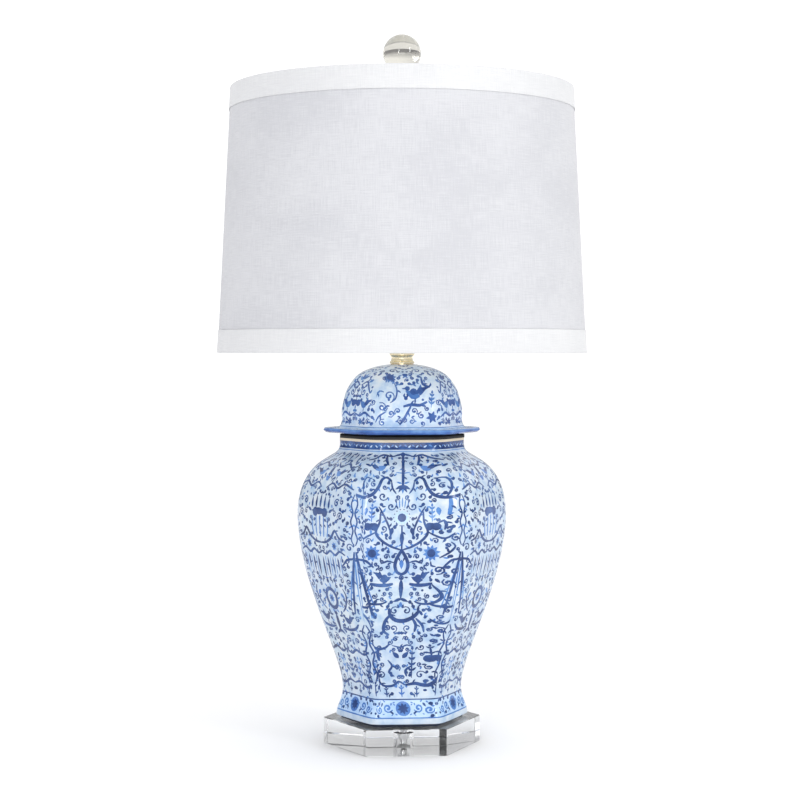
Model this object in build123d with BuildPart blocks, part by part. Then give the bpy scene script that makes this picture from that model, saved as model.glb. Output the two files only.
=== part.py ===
"""Table lamp: hexagonal lidded jar on a clear hexagonal plinth, with a tapered drum shade.

Millimetres, +Z up. The origin is the centre of the plinth's underside, and the lamp's axis is Z.
The jar's flat panels face -Y (front), +Y and the four sides between, so its corners lie on +X and -X.
"""

import math
import os

from build123d import *

os.makedirs("parts", exist_ok=True)

# ---------------------------------------------------------------- driving sizes: plinth and jar
PLINTH_TIP = 76.0  # centre to corner of the clear plinth
PLINTH_THICKNESS = 25.4
PLINTH_CORNER = 1.6  # radius on its upright edges
PLINTH_BEVEL = 0.6  # polished edge break, top and bottom
RECESS_RADIUS = 10.0  # counterbore for the nut under the plinth
RECESS_DEPTH = 13.5

PAD_THICKNESS = 3.0
PAD_INSET = 5.0  # how far the pad stays inside the jar's foot

JAR_HEIGHT = 270.6  # foot to rim
JAR_TIP = 101.3  # centre to rounded corner at the widest level
FOOT_TIP = 63.8
WAIST_TIP = 57.9
NECK_TIP = 60.3
JAR_WALL = 5.0
JAR_FLOOR = 6.0
RIM_ROUND = 0.8
PANEL_BULGE = 0.018  # rise of a panel's curve, as a share of its width

LID_FLANGE_TIP = 76.0
LID_FLANGE_THICKNESS = 4.6
LID_LIP = 1.9  # radius on the flange's edges
LID_SEAT = 2.0  # gap between the rim and the flange's underside, filled by the seat
LID_DOME_TIP = 58.6
LID_HEIGHT = 67.2  # rim to crown
LID_WALL = 4.5
SKIRT_DEPTH = 9.0
SKIRT_CLEARANCE = 1.2  # between the lid's skirt and the inside of the neck

# ---------------------------------------------------------------- driving sizes: pipe and fittings
PIPE_RADIUS = 4.8  # 1/8 IP lamp pipe
PIPE_BORE = 3.2
PIPE_CLEARANCE = 0.3  # holes that the pipe only passes through
PIPE_END_GAP = 3.0  # pipe end above the plinth's underside
NUT_ACROSS_FLATS = 14.3
NUT_THICKNESS = 4.0
WASHER_RADIUS = 9.2
WASHER_THICKNESS = 1.5
LID_WASHER_THICKNESS = 0.8

SPOOL_RADIUS = 12.2
SPOOL_WAIST_RADIUS = 10.3
SPOOL_HEIGHT = 10.0
SPOOL_LIP = 2.4
SLEEVE_RADIUS = 8.6
SLEEVE_HEIGHT = 11.0

GROMMET_BORE = 3.7
GROMMET_HOLE = 5.6  # hole in the jar's back panel
GROMMET_FLANGE = 8.0
GROMMET_FLANGE_THICKNESS = 1.6
GROMMET_HEIGHT = 0.096 * JAR_HEIGHT  # above the jar's foot, where the panels are upright
GROMMET_FIT = 0.15
CORD_HOLE = 2.4  # side hole in the pipe, facing the grommet

# ---------------------------------------------------------------- driving sizes: socket and bulb
CAP_HEIGHT = 19.0
CAP_HUB_RADIUS = 7.2
SHELL_HEIGHT = 44.0
SOCKET_SHEET = 0.6  # sheet metal of cap and shell
CAP_LAP = 5.0  # how far the shell sits down inside the cap
LINER_WALL = 0.8
SOCKET_GAP = 0.05  # between nested socket pieces
SWITCH_BODY_HEIGHT = 18.0
KEY_HEIGHT = 10.0  # key axis above the switch body's underside
SCREW_SHELL_HEIGHT = 22.0
SCREW_SHELL_WALL = 0.45
SCREW_SHELL_ROOM = 0.95  # between the screw shell and the cardboard liner
SHAFT_RADIUS = 2.0
SHAFT_RUN = 0.08  # running clearance of the key's shaft
KNOB_RADIUS = 6.5
KNOB_LENGTH = 12.0
KNOB_START = 20.0  # from the lamp's axis

BULB_THREAD_RADIUS = 12.95
BULB_THREAD_DEPTH = 0.75
BULB_RUN = 0.1  # running clearance of the bulb's thread
BULB_CAP_SHEET = 0.5
BULB_CEMENT = 0.1  # between the glass neck and the bulb's cap
BULB_PITCH = 3.63
BULB_TURNS = 5
BULB_GLASS_RADIUS = 30.0
BULB_GLASS_HEIGHT = 82.0
GLASS_WALL = 1.0

# ---------------------------------------------------------------- driving sizes: harp
SADDLE_SPAN = 57.0  # between the harp's feet
SADDLE_WIDTH = 12.0
SADDLE_SHEET = 1.3
SADDLE_RISE = 7.0
PIN_RADIUS = 1.9
PIN_HEIGHT = 8.0
WIRE_RADIUS = 2.0
HARP_SPREAD = 90.0  # between the centrelines where the harp is widest
HARP_SHOULDER = 36.0
FERRULE_RADIUS = 3.7
FERRULE_LENGTH = 16.0
FERRULE_RUN = 0.1
HARP_EYE_RADIUS = 6.5
STUD_RADIUS = 3.1  # 1/4-27 thread
STUD_LENGTH = 14.0
STUD_FLANGE_RADIUS = 9.5
STUD_FLANGE_THICKNESS = 1.6
RIVET_RADIUS = 2.2
RIVET_HEAD_RADIUS = 4.4
RIVET_HEAD_THICKNESS = 1.2
RIVET_RUN = 0.1
STUD_GAP = 0.25

# ---------------------------------------------------------------- driving sizes: shade and finial
SHADE_BOTTOM_RADIUS = 177.2  # outside of the cloth
SHADE_TOP_RADIUS = 162.9
SHADE_HEIGHT = 253.4
SHADE_DROP = 2.2  # spider hub's top below the shade's top edge
FABRIC_THICKNESS = 0.5
LINER_THICKNESS = 0.7
TRIM_THICKNESS = 0.8
TRIM_BAND = 22.0
TRIM_FLAP = 9.0  # how far a trim turns in behind the ring
RING_WIRE = 1.5
RING_GAP = 0.15
HUB_RADIUS = 11.0
HUB_THICKNESS = 2.0
HUB_CLEARANCE = 0.35
ARM_RADIUS = 1.6
ARM_NOTCH = 0.6  # clearance of the trim's notches round the arms

FINIAL_BALL_RADIUS = 18.3
FINIAL_BASE_HEIGHT = 19.6
FINIAL_BASE_RADIUS = 7.6
FINIAL_WAIST_RADIUS = 5.4
FINIAL_CUP_RADIUS = 7.0
FINIAL_RUN = 0.1  # running clearance of the finial on the stud
FINIAL_BORE_DEPTH = 15.0
FINIAL_GAP = 0.1

# ---------------------------------------------------------------- levels worked out from the sizes
PAD_BOTTOM = PLINTH_THICKNESS
JAR_FOOT = PAD_BOTTOM + PAD_THICKNESS
JAR_RIM = JAR_FOOT + JAR_HEIGHT
LID_CROWN = JAR_RIM + LID_HEIGHT
SPOOL_BOTTOM = LID_CROWN + LID_WASHER_THICKNESS
SLEEVE_BOTTOM = SPOOL_BOTTOM + SPOOL_HEIGHT
SADDLE_BOTTOM = SLEEVE_BOTTOM + SLEEVE_HEIGHT
CAP_BOTTOM = SADDLE_BOTTOM + SADDLE_SHEET
SHELL_BOTTOM = CAP_BOTTOM + CAP_HEIGHT - CAP_LAP
PIPE_TOP = CAP_BOTTOM + 4.0
SWITCH_BOTTOM = SHELL_BOTTOM
SWITCH_TOP = SWITCH_BOTTOM + SWITCH_BODY_HEIGHT
KEY_LEVEL = SWITCH_BOTTOM + KEY_HEIGHT
SCREW_SHELL_BORE = BULB_THREAD_RADIUS + BULB_RUN
SWITCH_RADIUS = SCREW_SHELL_BORE + SCREW_SHELL_WALL + SCREW_SHELL_ROOM
LINER_RADIUS = SWITCH_RADIUS + SOCKET_GAP + LINER_WALL
SHELL_RADIUS = LINER_RADIUS + SOCKET_GAP + SOCKET_SHEET
CAP_RADIUS = SHELL_RADIUS + SOCKET_GAP + SOCKET_SHEET
BULB_CAP_BORE = BULB_THREAD_RADIUS - BULB_THREAD_DEPTH - BULB_CAP_SHEET
BULB_NECK_RADIUS = BULB_CAP_BORE - BULB_CEMENT
FINIAL_BORE = STUD_RADIUS + FINIAL_RUN
CONTACT_TOP = SWITCH_TOP + 1.6
BULB_BOTTOM = CONTACT_TOP + SOCKET_GAP
BULB_CAP_BOTTOM = BULB_BOTTOM + 4.0
BULB_CAP_TOP = BULB_CAP_BOTTOM + BULB_PITCH * BULB_TURNS + 2.0
BULB_TOP = BULB_CAP_TOP + BULB_GLASS_HEIGHT

PIN_BOTTOM = CAP_BOTTOM + SADDLE_RISE
PIN_TOP = PIN_BOTTOM + PIN_HEIGHT
SHADE_BOTTOM = LID_CROWN + 10.8
SHADE_TOP = SHADE_BOTTOM + SHADE_HEIGHT
SHADE_TAPER = (SHADE_BOTTOM_RADIUS - SHADE_TOP_RADIUS) / SHADE_HEIGHT
HUB_TOP = SHADE_TOP - SHADE_DROP
HUB_BOTTOM = HUB_TOP - HUB_THICKNESS
STUD_FLANGE_BOTTOM = HUB_BOTTOM - STUD_FLANGE_THICKNESS
EYE_TOP = STUD_FLANGE_BOTTOM - STUD_GAP
EYE_BOTTOM = EYE_TOP - 2 * WIRE_RADIUS
HARP_TOP = (EYE_TOP + EYE_BOTTOM) / 2  # level of the wire's centreline at the top
FINIAL_BOTTOM = HUB_TOP + FINIAL_GAP

# ---------------------------------------------------------------- jar and lid outlines
# Each station is (share of the jar's height, centre to rounded corner, corner radius), from the foot up.
JAR_STATIONS = [
    (0.0, FOOT_TIP, 11.0),
    (0.0148, FOOT_TIP - 0.5, 11.5),
    (0.0466, (FOOT_TIP + WAIST_TIP) / 2 - 0.5, 13.0),
    (0.0813, WAIST_TIP, 15.5),
    (0.155, WAIST_TIP + 2.2, 19.5),
    (0.237, WAIST_TIP + 9.4, 24.0),
    (0.34, JAR_TIP * 0.767, 29.0),
    (0.451, JAR_TIP * 0.868, 33.0),
    (0.565, JAR_TIP * 0.951, 36.0),
    (0.658, JAR_TIP * 0.991, 38.0),
    (0.721, JAR_TIP, 38.0),
    (0.78, JAR_TIP * 0.983, 38.0),
    (0.8315, JAR_TIP * 0.936, 36.0),
    (0.874, JAR_TIP * 0.862, 33.0),
    (0.9055, JAR_TIP * 0.768, 30.0),
    (0.9295, NECK_TIP + 6.6, 27.0),
    (0.948, NECK_TIP + 0.9, 25.0),
    (0.968, NECK_TIP, 25.0),
    (1.0, NECK_TIP, 25.0),
]
# Each station is (level above the rim, share of the dome's size, corner radius as a share of the size).
DOME_STATIONS = [
    (6.0, 1.050, 0.42),
    (10.5, 1.005, 0.42),
    (20.0, 1.000, 0.42),
    (32.0, 0.967, 0.44),
    (42.0, 0.917, 0.48),
    (50.0, 0.838, 0.52),
    (56.0, 0.752, 0.57),
    (60.5, 0.640, 0.62),
    (64.0, 0.490, 0.68),
    (66.4, 0.320, 0.75),
    (LID_HEIGHT, 0.225, 0.80),
]

PANEL_SHARE = 0.911  # panel's centre as a share of the rounded corner's reach, at the waist
CORNER_HALF_ANGLE = math.radians(60) + 2 * math.atan(2 * PANEL_BULGE)


def hexagon(tip, corner):
    """A flat hexagon with curved sides, reaching tip from its centre after its corners are rounded."""
    reach = tip + corner * (1 / math.sin(CORNER_HALF_ANGLE) - 1)
    flat = reach * (math.cos(math.radians(30)) + PANEL_BULGE)
    with BuildSketch(Plane.XY, mode=Mode.PRIVATE) as outline:
        with BuildLine():
            for side in range(6):
                start = math.radians(60 * side)
                middle = start + math.radians(30)
                end = start + math.radians(60)
                ThreePointArc(
                    (reach * math.cos(start), reach * math.sin(start)),
                    (flat * math.cos(middle), flat * math.sin(middle)),
                    (reach * math.cos(end), reach * math.sin(end)),
                )
        make_face()
        fillet(outline.vertices(), radius=corner)
    return outline.sketch_local


def keep(builder, name):
    """Labels a finished piece and writes it as its own file."""
    builder.part.label = name
    export_step(builder.part, f"parts/{name}.step")


def annulus(outer, inner):
    """A flat ring, centred on the axis."""
    with BuildSketch(Plane.XY, mode=Mode.PRIVATE) as outline:
        Circle(outer)
        Circle(inner, mode=Mode.SUBTRACT)
    return outline.sketch_local


def half_section(*points):
    """A closed outline of (radius, level) points, ready to be turned about the axis."""
    with BuildSketch(Plane.XZ, mode=Mode.PRIVATE) as outline:
        with BuildLine():
            Polyline(*points, close=True)
        make_face()
    return outline.sketch_local


def shade_radius(level):
    """Outer radius of the shade's cloth at a level."""
    return SHADE_BOTTOM_RADIUS - SHADE_TAPER * (level - SHADE_BOTTOM)


# ================================================================ plinth
with BuildPart() as plinth:
    with BuildSketch() as plinth_outline:
        RegularPolygon(PLINTH_TIP, 6)
        fillet(plinth_outline.vertices(), radius=PLINTH_CORNER)
    extrude(amount=PLINTH_THICKNESS)
    rims = plinth.faces().sort_by(Axis.Z)[0].edges() + plinth.faces().sort_by(Axis.Z)[-1].edges()
    chamfer(rims, length=PLINTH_BEVEL)
    with Locations((0, 0, 0)):
        Cylinder(
            RECESS_RADIUS, RECESS_DEPTH, align=(Align.CENTER, Align.CENTER, Align.MIN), mode=Mode.SUBTRACT
        )
        Cylinder(
            PIPE_RADIUS + PIPE_CLEARANCE,
            PLINTH_THICKNESS,
            align=(Align.CENTER, Align.CENTER, Align.MIN),
            mode=Mode.SUBTRACT,
        )
keep(plinth, "acrylic_plinth")

with BuildPart() as plinth_washer:
    with BuildSketch(Plane.XY.offset(RECESS_DEPTH - WASHER_THICKNESS)):
        add(annulus(WASHER_RADIUS, PIPE_RADIUS + PIPE_CLEARANCE))
    extrude(amount=WASHER_THICKNESS)
keep(plinth_washer, "plinth_washer")

with BuildPart() as plinth_nut:
    nut_top = RECESS_DEPTH - WASHER_THICKNESS
    with BuildSketch(Plane.XY.offset(nut_top - NUT_THICKNESS)):
        RegularPolygon(NUT_ACROSS_FLATS / 2, 6, major_radius=False)
        Circle(PIPE_RADIUS, mode=Mode.SUBTRACT)
    extrude(amount=NUT_THICKNESS)
keep(plinth_nut, "plinth_nut")

with BuildPart() as foot_pad:
    with BuildSketch(Plane.XY.offset(PAD_BOTTOM)):
        add(hexagon(FOOT_TIP - PAD_INSET, 9.0))
        Circle(PIPE_RADIUS + PIPE_CLEARANCE, mode=Mode.SUBTRACT)
    extrude(amount=PAD_THICKNESS)
keep(foot_pad, "foot_pad")

# ================================================================ jar
with BuildPart() as jar:
    for share, tip, corner in JAR_STATIONS:
        with BuildSketch(Plane.XY.offset(JAR_FOOT + share * JAR_HEIGHT)):
            add(hexagon(tip, corner))
    loft()
    fillet(jar.faces().sort_by(Axis.Z)[-1].outer_wire().edges(), radius=RIM_ROUND)
    inside = [(JAR_FOOT + JAR_FLOOR, FOOT_TIP - JAR_WALL, 9.0)] + [
        (JAR_FOOT + share * JAR_HEIGHT, tip - JAR_WALL, corner - JAR_WALL)
        for share, tip, corner in JAR_STATIONS[2:]
    ]
    for level, tip, corner in inside:
        with BuildSketch(Plane.XY.offset(level)):
            add(hexagon(tip, corner))
    loft(mode=Mode.SUBTRACT)
    with Locations((0, 0, JAR_FOOT)):
        Cylinder(
            PIPE_RADIUS + PIPE_CLEARANCE,
            JAR_FLOOR,
            align=(Align.CENTER, Align.CENTER, Align.MIN),
            mode=Mode.SUBTRACT,
        )
    # hole for the cord grommet, through the back panel
    with BuildSketch(Plane.XZ.offset(-FOOT_TIP)):
        with Locations((0, JAR_FOOT + GROMMET_HEIGHT)):
            Circle(GROMMET_HOLE)
    extrude(amount=FOOT_TIP / 2, mode=Mode.SUBTRACT)
keep(jar, "jar_body")

with BuildPart() as grommet:
    back = Plane(origin=(0, 0, JAR_FOOT + GROMMET_HEIGHT), x_dir=(1, 0, 0), z_dir=(0, 1, 0))
    panel_reach = WAIST_TIP * PANEL_SHARE
    with BuildSketch(back.offset(panel_reach - JAR_WALL - 3.0)):
        Circle(GROMMET_HOLE - GROMMET_FIT)
    extrude(amount=JAR_WALL + 3.0)
    with BuildSketch(back.offset(panel_reach - 1.0)):
        Circle(GROMMET_FLANGE)
    extrude(amount=GROMMET_FLANGE_THICKNESS + 1.0)
    with BuildSketch(back.offset(panel_reach - JAR_WALL - 3.0)):
        Circle(GROMMET_HOLE + 1.2)
    extrude(amount=3.4)
    fillet(grommet.faces().sort_by(Axis.Y)[-1].outer_wire().edges(), radius=0.8)
    add(jar.part, mode=Mode.SUBTRACT)
    with BuildSketch(back):
        Circle(GROMMET_BORE)
    extrude(amount=JAR_TIP, mode=Mode.SUBTRACT)
keep(grommet, "cord_grommet")

# ================================================================ lid
with BuildPart() as lid:
    with BuildSketch(Plane.XY.offset(JAR_RIM + LID_SEAT)):
        add(hexagon(LID_FLANGE_TIP, 20.0))
    extrude(amount=LID_FLANGE_THICKNESS)
    fillet(lid.edges().group_by(Axis.Z)[0] + lid.edges().group_by(Axis.Z)[-1], radius=LID_LIP)
    for rise, share, corner_share in DOME_STATIONS:
        with BuildSketch(Plane.XY.offset(JAR_RIM + rise)):
            add(hexagon(LID_DOME_TIP * share, LID_DOME_TIP * share * corner_share))
    loft()
    with BuildSketch(Plane.XY.offset(JAR_RIM)):
        add(hexagon(NECK_TIP - 1.4, 24.0))
    extrude(amount=LID_SEAT)
    skirt_tip = NECK_TIP - JAR_WALL - SKIRT_CLEARANCE
    with BuildSketch(Plane.XY.offset(JAR_RIM - SKIRT_DEPTH)):
        add(hexagon(skirt_tip, 19.0))
    extrude(amount=SKIRT_DEPTH)
    with BuildSketch(Plane.XY.offset(JAR_RIM - SKIRT_DEPTH)):
        add(hexagon(skirt_tip - LID_WALL, 15.0))
    extrude(amount=SKIRT_DEPTH + DOME_STATIONS[2][0], mode=Mode.SUBTRACT)
    for rise, share, corner_share in DOME_STATIONS[1:8]:
        dome_tip = LID_DOME_TIP * share
        with BuildSketch(Plane.XY.offset(JAR_RIM + rise - share * 0.8)):
            add(hexagon(dome_tip - LID_WALL, dome_tip * corner_share - LID_WALL))
    loft(mode=Mode.SUBTRACT)
    with BuildSketch(Plane.XY.offset(JAR_RIM)):
        Circle(PIPE_RADIUS + PIPE_CLEARANCE)
    extrude(amount=LID_HEIGHT, mode=Mode.SUBTRACT)
keep(lid, "jar_lid")

with BuildPart() as lid_washer:
    with BuildSketch(Plane.XY.offset(LID_CROWN)):
        add(annulus(SPOOL_RADIUS - 1.4, PIPE_RADIUS + PIPE_CLEARANCE))
    extrude(amount=LID_WASHER_THICKNESS)
keep(lid_washer, "lid_washer")

# ================================================================ pipe, spool and sleeve
with BuildPart() as pipe:
    with BuildSketch(Plane.XY.offset(PIPE_END_GAP)):
        add(annulus(PIPE_RADIUS, PIPE_BORE))
    extrude(amount=PIPE_TOP - PIPE_END_GAP)
    with BuildSketch(back):
        Circle(CORD_HOLE)
    extrude(amount=PIPE_RADIUS * 2, mode=Mode.SUBTRACT)
keep(pipe, "lamp_pipe")

with BuildPart() as spool:
    lip_bottom = SLEEVE_BOTTOM - SPOOL_LIP
    with BuildSketch(Plane.XZ):
        with BuildLine():
            Line((PIPE_RADIUS + PIPE_CLEARANCE, SPOOL_BOTTOM), (SPOOL_RADIUS - 0.6, SPOOL_BOTTOM))
            ThreePointArc(
                (SPOOL_RADIUS - 0.6, SPOOL_BOTTOM),
                (SPOOL_RADIUS, SPOOL_BOTTOM + 1.0),
                (SPOOL_RADIUS - 0.6, SPOOL_BOTTOM + 2.0),
            )
            ThreePointArc(
                (SPOOL_RADIUS - 0.6, SPOOL_BOTTOM + 2.0),
                (SPOOL_WAIST_RADIUS, (SPOOL_BOTTOM + 2.0 + lip_bottom) / 2),
                (SPOOL_RADIUS - 0.6, lip_bottom),
            )
            ThreePointArc(
                (SPOOL_RADIUS - 0.6, lip_bottom),
                (SPOOL_RADIUS, lip_bottom + SPOOL_LIP / 2),
                (SPOOL_RADIUS - 0.6, SLEEVE_BOTTOM),
            )
            Line((SPOOL_RADIUS - 0.6, SLEEVE_BOTTOM), (PIPE_RADIUS + PIPE_CLEARANCE, SLEEVE_BOTTOM))
            Line(
                (PIPE_RADIUS + PIPE_CLEARANCE, SLEEVE_BOTTOM), (PIPE_RADIUS + PIPE_CLEARANCE, SPOOL_BOTTOM)
            )
        make_face()
    revolve(axis=Axis.Z)
keep(spool, "brass_neck")

with BuildPart() as sleeve:
    with BuildSketch(Plane.XY.offset(SLEEVE_BOTTOM)):
        add(annulus(SLEEVE_RADIUS, PIPE_RADIUS + PIPE_CLEARANCE))
    extrude(amount=SLEEVE_HEIGHT)
    chamfer(sleeve.faces().sort_by(Axis.Z)[-1].outer_wire().edges(), length=0.8)
keep(sleeve, "neck_sleeve")

# ================================================================ saddle
with BuildPart() as saddle:
    leg_x = SADDLE_SPAN / 2
    with BuildSketch(Plane.XZ):
        with BuildLine():
            Polyline(
                (0, SADDLE_BOTTOM),
                (leg_x - 9.0, SADDLE_BOTTOM),
                (leg_x - 3.6, PIN_BOTTOM - SADDLE_SHEET),
                (leg_x + 4.6, PIN_BOTTOM - SADDLE_SHEET),
                (leg_x + 4.6, PIN_BOTTOM),
                (leg_x - 4.4, PIN_BOTTOM),
                (leg_x - 9.8, CAP_BOTTOM),
                (0, CAP_BOTTOM),
                close=True,
            )
        make_face()
    extrude(amount=SADDLE_WIDTH / 2, both=True)
    mirror(about=Plane.YZ)
    with BuildSketch(Plane.XY.offset(SADDLE_BOTTOM)):
        Circle(PIPE_RADIUS + PIPE_CLEARANCE)
    extrude(amount=SADDLE_SHEET, mode=Mode.SUBTRACT)
    with BuildSketch(Plane.XY.offset(PIN_BOTTOM)):
        with Locations((leg_x, 0), (-leg_x, 0)):
            Circle(PIN_RADIUS)
    extrude(amount=PIN_HEIGHT)
keep(saddle, "harp_saddle")

# ================================================================ socket
with BuildPart() as cap:
    cap_inside = CAP_RADIUS - SOCKET_SHEET
    with BuildSketch(Plane.XZ):
        add(
            half_section(
                (PIPE_RADIUS, CAP_BOTTOM),
                (CAP_HUB_RADIUS, CAP_BOTTOM),
                (CAP_HUB_RADIUS, CAP_BOTTOM + 3.4),
                (CAP_RADIUS - 1.5, CAP_BOTTOM + 7.5),
                (CAP_RADIUS, CAP_BOTTOM + 10.0),
                (CAP_RADIUS, CAP_BOTTOM + CAP_HEIGHT),
                (cap_inside, CAP_BOTTOM + CAP_HEIGHT),
                (cap_inside, CAP_BOTTOM + 10.2),
                (cap_inside - 1.3, CAP_BOTTOM + 8.1),
                (CAP_HUB_RADIUS - 0.4, CAP_BOTTOM + 4.0),
                (PIPE_RADIUS, CAP_BOTTOM + 4.0),
            )
        )
    revolve(axis=Axis.Z)
keep(cap, "socket_cap")

front = Plane(origin=(0, 0, KEY_LEVEL), x_dir=(1, 0, 0), z_dir=(0, -1, 0))
key_hole = SHAFT_RADIUS + 0.6

with BuildPart() as shell:
    with BuildSketch(Plane.XY.offset(SHELL_BOTTOM)):
        add(annulus(SHELL_RADIUS, SHELL_RADIUS - SOCKET_SHEET))
    extrude(amount=SHELL_HEIGHT)
    with BuildSketch(front):
        Circle(key_hole)
    extrude(amount=CAP_RADIUS, mode=Mode.SUBTRACT)
keep(shell, "socket_shell")

with BuildPart() as liner:
    with BuildSketch(Plane.XY.offset(SHELL_BOTTOM)):
        add(annulus(LINER_RADIUS, LINER_RADIUS - LINER_WALL))
    extrude(amount=SHELL_HEIGHT + 0.8)
    with BuildSketch(front):
        Circle(key_hole)
    extrude(amount=CAP_RADIUS, mode=Mode.SUBTRACT)
keep(liner, "socket_liner")

with BuildPart() as switch_body:
    with BuildSketch(Plane.XY.offset(SWITCH_BOTTOM)):
        Circle(SWITCH_RADIUS)
    extrude(amount=SWITCH_BODY_HEIGHT)
    chamfer(switch_body.faces().sort_by(Axis.Z)[0].edges(), length=1.5)
    with BuildSketch(front.offset(SWITCH_RADIUS / 2)):
        Circle(SHAFT_RADIUS + SHAFT_RUN)
    extrude(amount=SWITCH_RADIUS, mode=Mode.SUBTRACT)
keep(switch_body, "switch_body")

with BuildPart() as screw_shell:
    with BuildSketch(Plane.XY.offset(SWITCH_TOP)):
        add(annulus(SCREW_SHELL_BORE + SCREW_SHELL_WALL, SCREW_SHELL_BORE))
    extrude(amount=SCREW_SHELL_HEIGHT)
keep(screw_shell, "screw_shell")

with BuildPart() as center_contact:
    with BuildSketch(Plane.XY.offset(SWITCH_TOP)):
        SlotOverall(10.0, 4.0)
    extrude(amount=CONTACT_TOP - SWITCH_TOP)
keep(center_contact, "center_contact")

with BuildPart() as shaft:
    with BuildSketch(front.offset(SWITCH_RADIUS / 2 + 0.4)):
        Circle(SHAFT_RADIUS)
    extrude(amount=KNOB_START + KNOB_LENGTH / 2 - SWITCH_RADIUS / 2 - 0.4)
keep(shaft, "switch_shaft")

with BuildPart() as knob:
    with BuildSketch(front.offset(KNOB_START)):
        Circle(KNOB_RADIUS - 0.7)
        with PolarLocations(KNOB_RADIUS - 0.9, 12):
            Circle(0.9)
    extrude(amount=KNOB_LENGTH)
    chamfer(knob.faces().sort_by(Axis.Y)[0].edges(), length=0.4)
    with BuildSketch(front.offset(KNOB_START)):
        Circle(SHAFT_RADIUS)
    extrude(amount=KNOB_LENGTH / 2, mode=Mode.SUBTRACT)
keep(knob, "switch_knob")

# ================================================================ bulb
with BuildPart() as bulb_contact:
    with BuildSketch(Plane.XY.offset(BULB_BOTTOM)):
        Circle(4.2)
    extrude(amount=1.6)
    fillet(bulb_contact.faces().sort_by(Axis.Z)[0].edges(), radius=0.9)
keep(bulb_contact, "bulb_contact")

with BuildPart() as bulb_insulator:
    with BuildSketch(Plane.XZ):
        add(
            half_section(
                (0, BULB_BOTTOM + 1.6),
                (5.0, BULB_BOTTOM + 1.6),
                (BULB_THREAD_RADIUS - BULB_THREAD_DEPTH - 1.2, BULB_CAP_BOTTOM),
                (0, BULB_CAP_BOTTOM),
            )
        )
    revolve(axis=Axis.Z)
keep(bulb_insulator, "bulb_insulator")

with BuildPart() as bulb_cap:
    root = BULB_THREAD_RADIUS - BULB_THREAD_DEPTH
    with BuildSketch(Plane.XZ):
        with BuildLine():
            Polyline(
                (root, BULB_CAP_TOP),
                (BULB_CAP_BORE, BULB_CAP_TOP),
                (BULB_CAP_BORE, BULB_CAP_BOTTOM + 0.6),
                (0, BULB_CAP_BOTTOM + 0.6),
                (0, BULB_CAP_BOTTOM),
                (root, BULB_CAP_BOTTOM),
            )
            for turn in range(BULB_TURNS):
                turn_bottom = BULB_CAP_BOTTOM + turn * BULB_PITCH
                ThreePointArc(
                    (root, turn_bottom),
                    (BULB_THREAD_RADIUS, turn_bottom + BULB_PITCH / 2),
                    (root, turn_bottom + BULB_PITCH),
                )
            Line((root, BULB_CAP_BOTTOM + BULB_TURNS * BULB_PITCH), (root, BULB_CAP_TOP))
        make_face()
    revolve(axis=Axis.Z)
keep(bulb_cap, "bulb_cap")

with BuildPart() as bulb_glass:
    shoulder = BULB_TOP - BULB_GLASS_RADIUS
    neck_bottom = BULB_CAP_TOP - 4.0
    for wall, mode in ((0, Mode.ADD), (GLASS_WALL, Mode.SUBTRACT)):
        with BuildSketch(Plane.XZ):
            with BuildLine():
                neck = Line(
                    (BULB_NECK_RADIUS - wall, neck_bottom),
                    (BULB_NECK_RADIUS - wall, BULB_CAP_TOP + 3),
                )
                flare = Spline(
                    neck @ 1,
                    (BULB_GLASS_RADIUS - wall, shoulder),
                    tangents=((0, 1), (0, 1)),
                )
                crown = RadiusArc(flare @ 1, (0, BULB_TOP - wall), -(BULB_GLASS_RADIUS - wall))
                Line(crown @ 1, (0, neck_bottom))
                Line((0, neck_bottom), neck @ 0)
            make_face()
        revolve(axis=Axis.Z, mode=mode)
keep(bulb_glass, "bulb_glass")

with BuildPart() as bulb_stem:
    stem_top = BULB_CAP_TOP + 26.0
    with BuildSketch(Plane.XZ):
        add(
            half_section(
                (0, BULB_CAP_BOTTOM + 0.6),
                (BULB_NECK_RADIUS - GLASS_WALL - 0.4, BULB_CAP_BOTTOM + 0.6),
                (BULB_NECK_RADIUS - GLASS_WALL - 0.4, BULB_CAP_BOTTOM + 2.0),
                (3.0, BULB_CAP_TOP),
                (1.8, stem_top - 3.0),
                (2.6, stem_top),
                (0, stem_top),
            )
        )
    revolve(axis=Axis.Z)
keep(bulb_stem, "bulb_stem")

with BuildPart() as bulb_filament:
    with BuildLine(Plane.XZ) as wire:
        Polyline((-1.6, stem_top), (-8.0, stem_top + 12.0), (8.0, stem_top + 12.0), (1.6, stem_top))
    with BuildSketch(Plane(origin=wire.line @ 0, z_dir=wire.line % 0)):
        Circle(0.3)
    sweep(transition=Transition.RIGHT)
    add(bulb_stem.part, mode=Mode.SUBTRACT)
keep(bulb_filament, "bulb_filament")

# ================================================================ harp
with BuildPart() as harp:
    with BuildLine(Plane.XZ) as bow:
        leg = Line((leg_x, PIN_TOP), (leg_x, PIN_TOP + HARP_SHOULDER))
        swell = Spline(
            leg @ 1, (HARP_SPREAD / 2, PIN_TOP + HARP_SHOULDER + 52.0), tangents=((0, 1), (0, 1))
        )
        side = Line(swell @ 1, (HARP_SPREAD / 2, HARP_TOP - 64.0))
        Spline(side @ 1, (HARP_EYE_RADIUS - 2.0, HARP_TOP), tangents=((0, 1), (-1, 0)))
    with BuildSketch(Plane(origin=bow.line @ 0, z_dir=bow.line % 0)):
        Circle(WIRE_RADIUS)
    sweep()
    mirror(about=Plane.YZ)
    with BuildSketch(Plane.XY.offset(EYE_BOTTOM)):
        Circle(HARP_EYE_RADIUS)
    extrude(amount=2 * WIRE_RADIUS)
    with BuildSketch(Plane.XY.offset(EYE_BOTTOM)):
        Circle(RIVET_RADIUS + RIVET_RUN)
    extrude(amount=2 * WIRE_RADIUS, mode=Mode.SUBTRACT)
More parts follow.
